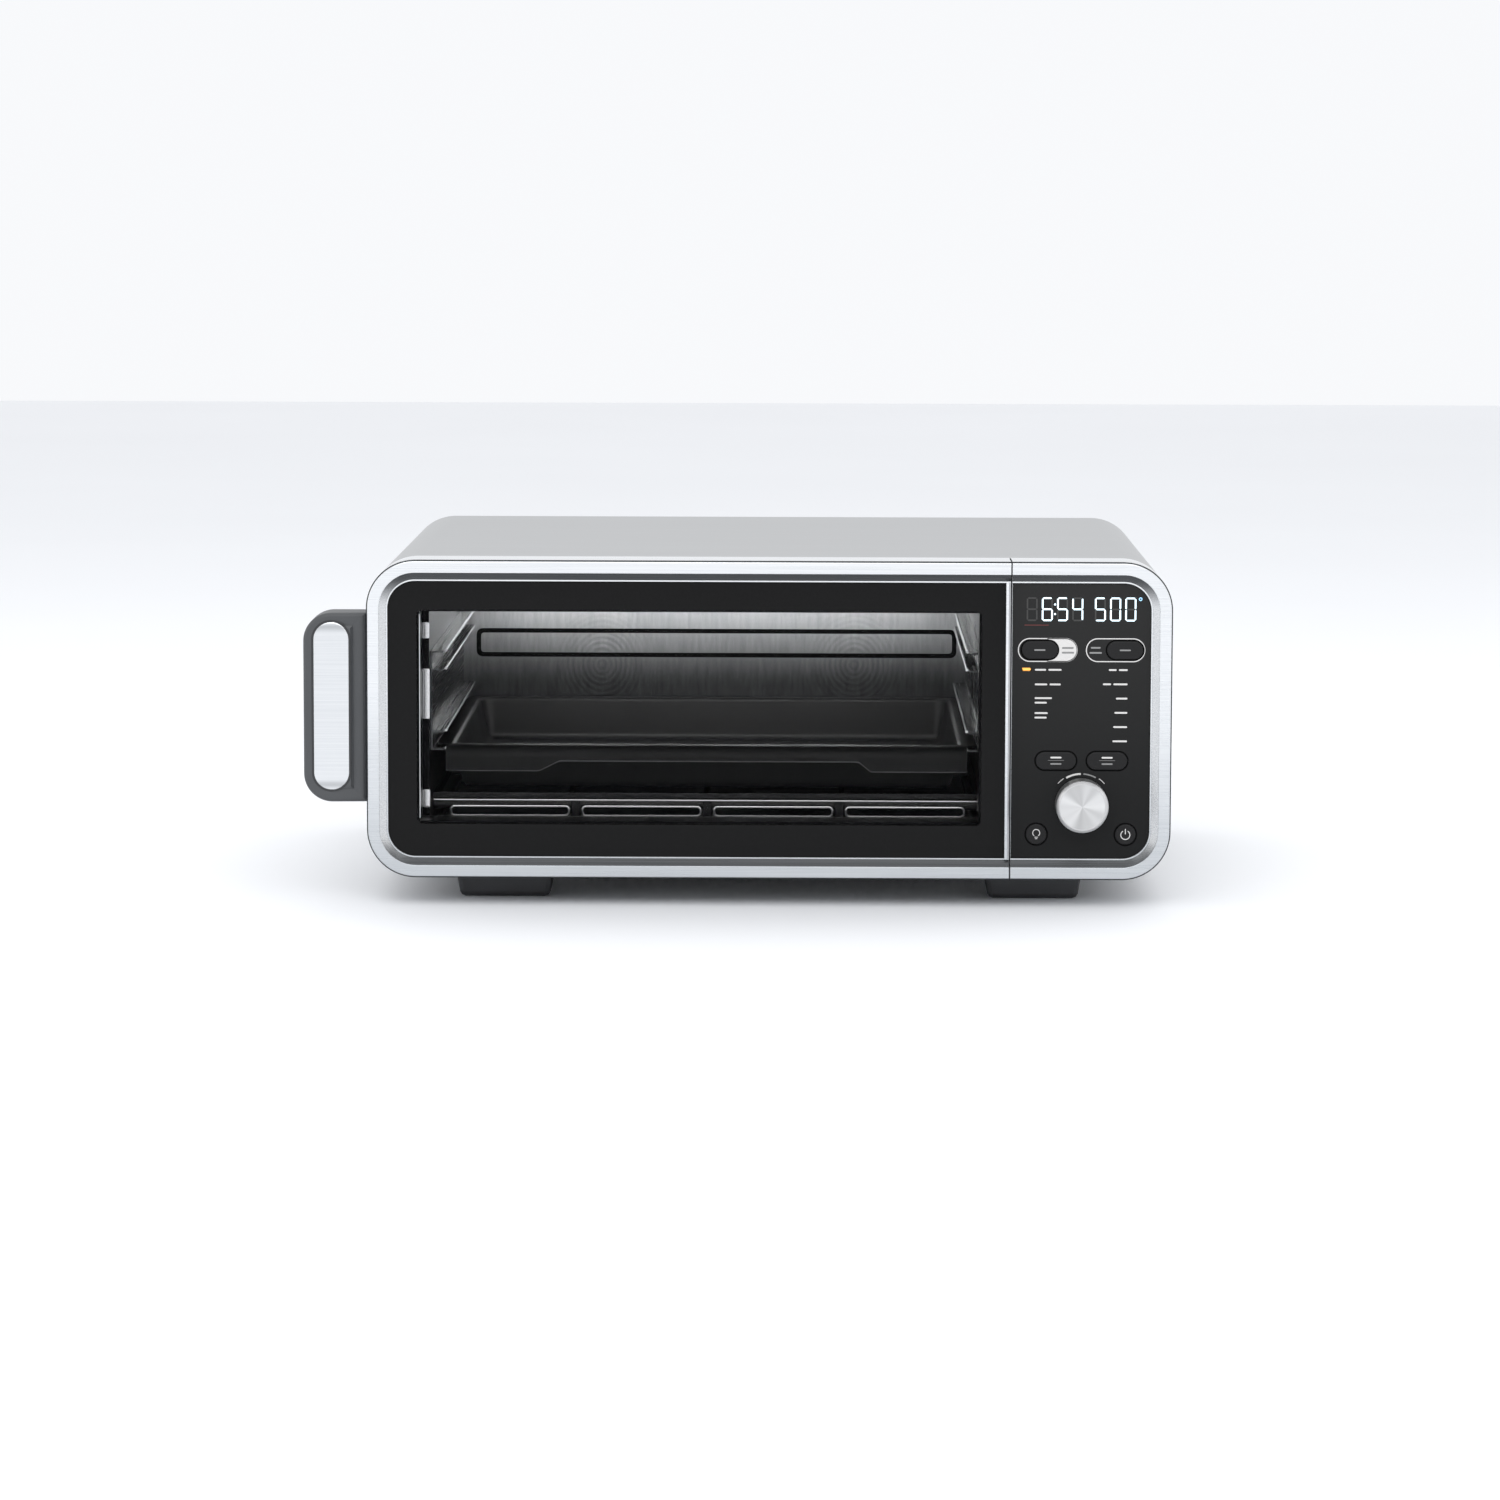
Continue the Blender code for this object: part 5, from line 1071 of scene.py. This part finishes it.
# Sheet pan. Drawn steel with a matt black non-stick coat: a flat flange with a rolled edge, sides that lean
# in to a flat bottom through a wide bend, and a turned-down front edge with two deeper lips.
pan_x, pan_y, pan_z = span("sheet_pan")
SHEET = 0.0012
PAN_CORNER, FRONT_CORNER = 0.020, 0.012
FLANGE_WIDTH, WALL_LEAN = 0.0095, 0.0060
BOTTOM_REACH = 0.040
LIP_BEND = 0.0075
LIP_SHEET = 0.0010
LIP_MARGINS = (0.0062, 0.0057)
CORNER_LIP, PLAIN_LIP = 0.0146, 0.0086
HEM_WIRE = 0.0006
pan_top, pan_low = pan_z[1], pan_z[0]
pan_section = filleted(
    [(BOTTOM_REACH, pan_low), (FLANGE_WIDTH + WALL_LEAN, pan_low), (FLANGE_WIDTH, pan_top - SHEET),
     (0.0, pan_top - SHEET), (0.0, pan_top), (FLANGE_WIDTH + 0.0008, pan_top),
     (FLANGE_WIDTH + WALL_LEAN + 0.0010, pan_low + SHEET), (BOTTOM_REACH, pan_low + SHEET)],
    [0, 0.0062, 0.0016, 0.0005, 0.0005, 0.0026, 0.0052, 0], closed=False, steps=8,
)
pan_box = (*pan_x, pan_y[0] + LIP_BEND - 0.0002, pan_y[1])
pan_radii = {"TR": PAN_CORNER, "TL": PAN_CORNER, "BL": FRONT_CORNER, "BR": FRONT_CORNER}
pan_rows = swept(pan_box, pan_radii, ALL_ROUND, pan_section, steps=20)[..., [0, 2, 1]]
pan_black = rgb(0.0075, 0.0075, 0.0077)
pan_paint = moulded("non_stick_coat", pan_black, 0.46, grain=1700.0, relief=0.00003, specular=0.17)
pan = solid("sheet_pan_drawn", [loft(pan_rows)], pan_paint)
lip_left, lip_right = pan_x[0] + LIP_MARGINS[0], pan_x[1] - LIP_MARGINS[1]
corner_foot, plain_foot = pan_top - CORNER_LIP, pan_top - PLAIN_LIP
slants = [lip_left, lip_left + 0.0562, lip_left + 0.0683, lip_right - 0.0652, lip_right - 0.0578, lip_right]
feet_at = [corner_foot, corner_foot, plain_foot, plain_foot, corner_foot, corner_foot]
stations = np.unique(np.concatenate([np.linspace(lip_left, lip_right, 60), slants]))
foot = np.interp(stations, slants, feet_at)
turn = np.linspace(0, math.pi / 2, 13)
bend_y, bend_z = pan_y[0] + LIP_BEND, pan_top - LIP_BEND
lip_rows = []
for radius, order in ((LIP_BEND, 1), (LIP_BEND - LIP_SHEET, -1)):
    arc = [np.column_stack([stations, np.full(len(stations), bend_y - radius * math.sin(a)),
                            np.full(len(stations), bend_z + radius * math.cos(a))]) for a in turn]
    hem = np.column_stack([stations, np.full(len(stations), bend_y - radius), foot])
    lip_rows += [*arc, hem][::order]
lip_skin = strip(np.array(lip_rows))
front_lip = solid("sheet_pan_front_lip", [lip_skin], pan_paint)
hem_path = np.column_stack([stations, np.full(len(stations), pan_y[0] + 0.0005), foot])
hem_turn = full_turn(10)
hem_ring = HEM_WIRE * np.column_stack([np.zeros(10), np.cos(hem_turn), np.sin(hem_turn)])
hem_rows = hem_path[:, None] + hem_ring[None] + np.array([0, 0.0001, 0])
# Painted highlight: a lighter line along the rolled hem of the front edge.
hem_highlight_paint = moulded("hem_painted_highlight", rgb(0.15, 0.15, 0.152), 0.3, grain=1700.0)
front_hem = solid("sheet_pan_hem", [loft(hem_rows)], hem_highlight_paint)
for part in (pan, front_lip, front_hem):
    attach(part, "pan")
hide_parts("sheet_pan")


# Elements and their guard. Four straight sheathed heaters, a wire guard over the lower pair, and in front of
# them a rail and four wire loops held by three small posts; the loops are painted light along their top wires
# and dark along their lower ones.
heater_paint = brushed("heater_sheath", rgb(0.085, 0.084, 0.083), 0.36, (9.0, 700.0, 700.0), 0.3)
for place in ("lower", "upper"):
    for row in ("front", "rear"):
        coat_with(f"heater_{place}_{row}", heater_paint)
guard_paint = brushed("guard_wire", rgb(0.035, 0.035, 0.036), 0.36)
coat_with("element_guard", guard_paint)


def tube(points, radius, steps=10):
    """A round wire along a path in an upright plane: each point plus the radius times cos a along the
    path's own sideways direction and sin a along Y."""
    path = np.array(points, float)
    ahead = np.roll(path, -1, axis=0) - np.roll(path, 1, axis=0)
    side = np.column_stack([ahead[:, 2], np.zeros(len(path)), -ahead[:, 0]])
    side /= np.linalg.norm(side, axis=1)[:, None]
    turn = full_turn(steps)[None, :, None]
    return path[:, None] + radius * (side[:, None] * np.cos(turn) + np.array([0, 1, 0]) * np.sin(turn))


cavity_x = (mouth_left, span("cavity_right_wall")[0][0])
LOOP_DEPTH = 0.055
LOOP_GAP = 0.0082
LOOP_LOW, LOOP_HIGH = 0.0474, 0.0531
LOOP_WIRE = 0.00085
LOOP_CORNER = 0.0022
LOOP_MARGINS = (0.0116, 0.0102)
POST_HALF = 0.0028
RAIL_HEIGHT = 0.0572
RAIL_DEPTH = 0.0525
RAIL_WIRE = 0.0006
POST_SECTION = ((0, 0.001), (0, -0.0008), (0.0004, -0.0012))
loop_wires = []
loops_left, loops_right = cavity_x[0] + LOOP_MARGINS[0], cavity_x[1] - LOOP_MARGINS[1]
loop_length = (loops_right - loops_left - 3 * LOOP_GAP) / 4
posts = []
for i in range(4):
    left = loops_left + i * (loop_length + LOOP_GAP)
    line = outline((left, left + loop_length, LOOP_LOW, LOOP_HIGH), LOOP_CORNER, ALL_ROUND, 0, steps=8)
    path = np.column_stack([line[:, 0], np.full(len(line), front + LOOP_DEPTH), line[:, 1]])
    loop_wires.append(hoop(tube(path, LOOP_WIRE)))
    if i:
        middle = left - LOOP_GAP / 2
        box = (middle - POST_HALF, middle + POST_HALF, LOOP_LOW - 0.0010, RAIL_HEIGHT)
        post = [(inset, front + LOOP_DEPTH + deeper) for inset, deeper in POST_SECTION]
        posts.append(loft(swept(box, 0.0010, ALL_ROUND, post, steps=4)))
rail_turn = full_turn(12)
rail_ring = RAIL_WIRE * np.column_stack([np.zeros(12), np.cos(rail_turn), np.sin(rail_turn)])
rail_stations = np.linspace(cavity_x[0] + 0.0012, cavity_x[1] - 0.0012, 12)
rail_rows = np.array([rail_ring + [x, front + RAIL_DEPTH, RAIL_HEIGHT] for x in rail_stations])
loop_wires.append(loft(rail_rows))
wire_paint = Paint("loop_wire_steel", Metallic=1.0)
wire_height = wire_paint.axes()[2]
wire_grain = wire_paint.noise(ALONG_X, 2.0)
# Painted light: the loop wires are bright at the top and dark at the bottom.
loop_painted_light = wire_paint.step(wire_height, LOOP_LOW + 0.001, LOOP_HIGH - 0.001) * 0.85 + wire_grain * 0.15
wire_paint.feed("Base Color", wire_paint.mix(loop_painted_light, rgb(0.22, 0.22, 0.225), rgb(0.92, 0.92, 0.93)))
wire_paint.feed("Roughness", wire_grain * 0.1 + 0.17)
loops = solid("element_wire_loops", loop_wires, wire_paint, sharp=60)
post_piece = solid("element_posts", posts, guard_paint)
for part in (loops, post_piece):
    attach(part, "housing")


# Inner works. Pieces that show only from behind or below, through the vents, or with the door open: each kind
# has the finish of its material.
inner_finishes = {
    "liner_steel": brushed("plain_sheet_steel", rgb(0.46, 0.465, 0.47), 0.38, (40.0, 700.0, 700.0)),
    "brushed_steel": brushed("rear_panel_steel", STEEL, 0.33),
    "bright_rim": brushed("turned_pin_steel", rgb(0.75, 0.75, 0.76), 0.26),
    "grey_plastic": moulded("grey_moulding", rgb(0.075, 0.078, 0.082), 0.48),
    "foot_rubber": moulded("foot_moulding", rgb(0.036, 0.037, 0.040), 0.5, grain=1500.0, relief=0.00004),
    "black_fascia": moulded("black_housing_moulding", rgb(0.014, 0.014, 0.015), 0.4),
    "heater_sheath": heater_paint,
    "clear_glass": pane_paint,
}
board_paint = Paint("circuit_board_laminate", Roughness=0.45)
tracks = board_paint.node("ShaderNodeTexBrick", {"offset": 0.5}, {
    "Vector": board_paint.place(), "Scale": 60.0, "Mortar Size": 0.012, "Mortar": rgb(0.16, 0.12, 0.04),
    "Color1": rgb(0.02, 0.11, 0.045), "Color2": rgb(0.025, 0.13, 0.05),
})
board_paint.feed("Base Color", tracks)
inner_finishes["circuit_board"] = board_paint
for row in frame["record"]["subparts"]:
    node, slot = row["node"], row["material_slot"]
    if node not in coated and not frame["nodes"][node].hide_render:
        coat_with(node, inner_finishes[slot])


# Studio. A pale floor under a pale sky, a wide soft light over the front, one over the top, one on each side,
# and a strip inside the cavity that stands for its lamp.
def area_light(name, place, aim, size, energy):
    data = bpy.data.lights.new(name, "AREA")
    data.shape = "RECTANGLE"
    data.size, data.size_y = size
    data.energy = energy
    made = bpy.data.objects.new(name, data)
    bpy.context.scene.collection.objects.link(made)
    made.location = place
    made.rotation_euler = (Vector(aim) - Vector(place)).to_track_quat("-Z", "Y").to_euler()


floor_mesh = bpy.data.meshes.new("studio_floor")
floor_mesh.from_pydata([(-6, -6, 0), (6, -6, 0), (6, 6, 0), (-6, 6, 0)], [], [(0, 1, 2, 3)])
floor_paint = Paint("studio_floor", Roughness=0.6)
floor_tone = floor_paint.noise((1.5, 1.5, 1.5), 2.0)
floor_paint.feed("Base Color", floor_paint.mix(floor_tone, rgb(0.87, 0.88, 0.90), rgb(0.90, 0.91, 0.93)))
floor_mesh.materials.append(floor_paint.material)
floor = bpy.data.objects.new("studio_floor", floor_mesh)
bpy.context.scene.collection.objects.link(floor)

world = bpy.data.worlds.new("studio_sky")
world.use_nodes = True
world.node_tree.nodes["Background"].inputs["Color"].default_value = rgb(0.97, 0.98, 1.0)
world.node_tree.nodes["Background"].inputs["Strength"].default_value = 0.97
bpy.context.scene.world = world
bpy.context.scene.view_settings.view_transform = "Standard"

area_light("front_softbox", (0.0, -2.4, 1.7), (0, 0, 0.05), (2.6, 1.4), 24)
area_light("left_softbox", (-1.9, -0.8, 0.8), (0, 0, 0.1), (1.2, 1.2), 6)
area_light("right_softbox", (1.9, -0.8, 0.8), (0, 0, 0.1), (1.2, 1.2), 5)
area_light("top_softbox", (0.0, 0.5, 2.0), (0, 0.1, 0.1), (2.2, 1.4), 10)
cavity_back = back_y[0]
cavity_middle = middle_of(cavity_x)
area_light("cavity_strip", (cavity_middle, cavity_back - 0.110, 0.184), (cavity_middle, cavity_back, 0.145),
           (0.29, 0.02), 0.62)


# Camera. It stands about 3.2 m in front of the oven and a little above it, with a long lens.
# metres and degrees; the sensor and the lens in millimetres
CAMERA_DISTANCE = 3.1789
CAMERA_SIDE = 0.0396
CAMERA_HEIGHT = 0.4531
CAMERA_PITCH = 6.446
CAMERA_TURN = 0.574
CAMERA_ROLL = 0.161
SENSOR = 36.0
FOCAL_LENGTH = 129.36

camera_data = bpy.data.cameras.new("camera")
camera_data.sensor_width = SENSOR
camera_data.lens = FOCAL_LENGTH
camera_data.clip_start = 0.05
camera = bpy.data.objects.new("camera", camera_data)
bpy.context.scene.collection.objects.link(camera)
camera.matrix_world = (
    Matrix.Translation((CAMERA_SIDE, front - CAMERA_DISTANCE, CAMERA_HEIGHT))
    @ Matrix.Rotation(math.radians(CAMERA_TURN), 4, "Z")
    @ Matrix.Rotation(math.radians(90 - CAMERA_PITCH), 4, "X")
    @ Matrix.Rotation(math.radians(CAMERA_ROLL), 4, "Z")
)
bpy.context.scene.camera = camera
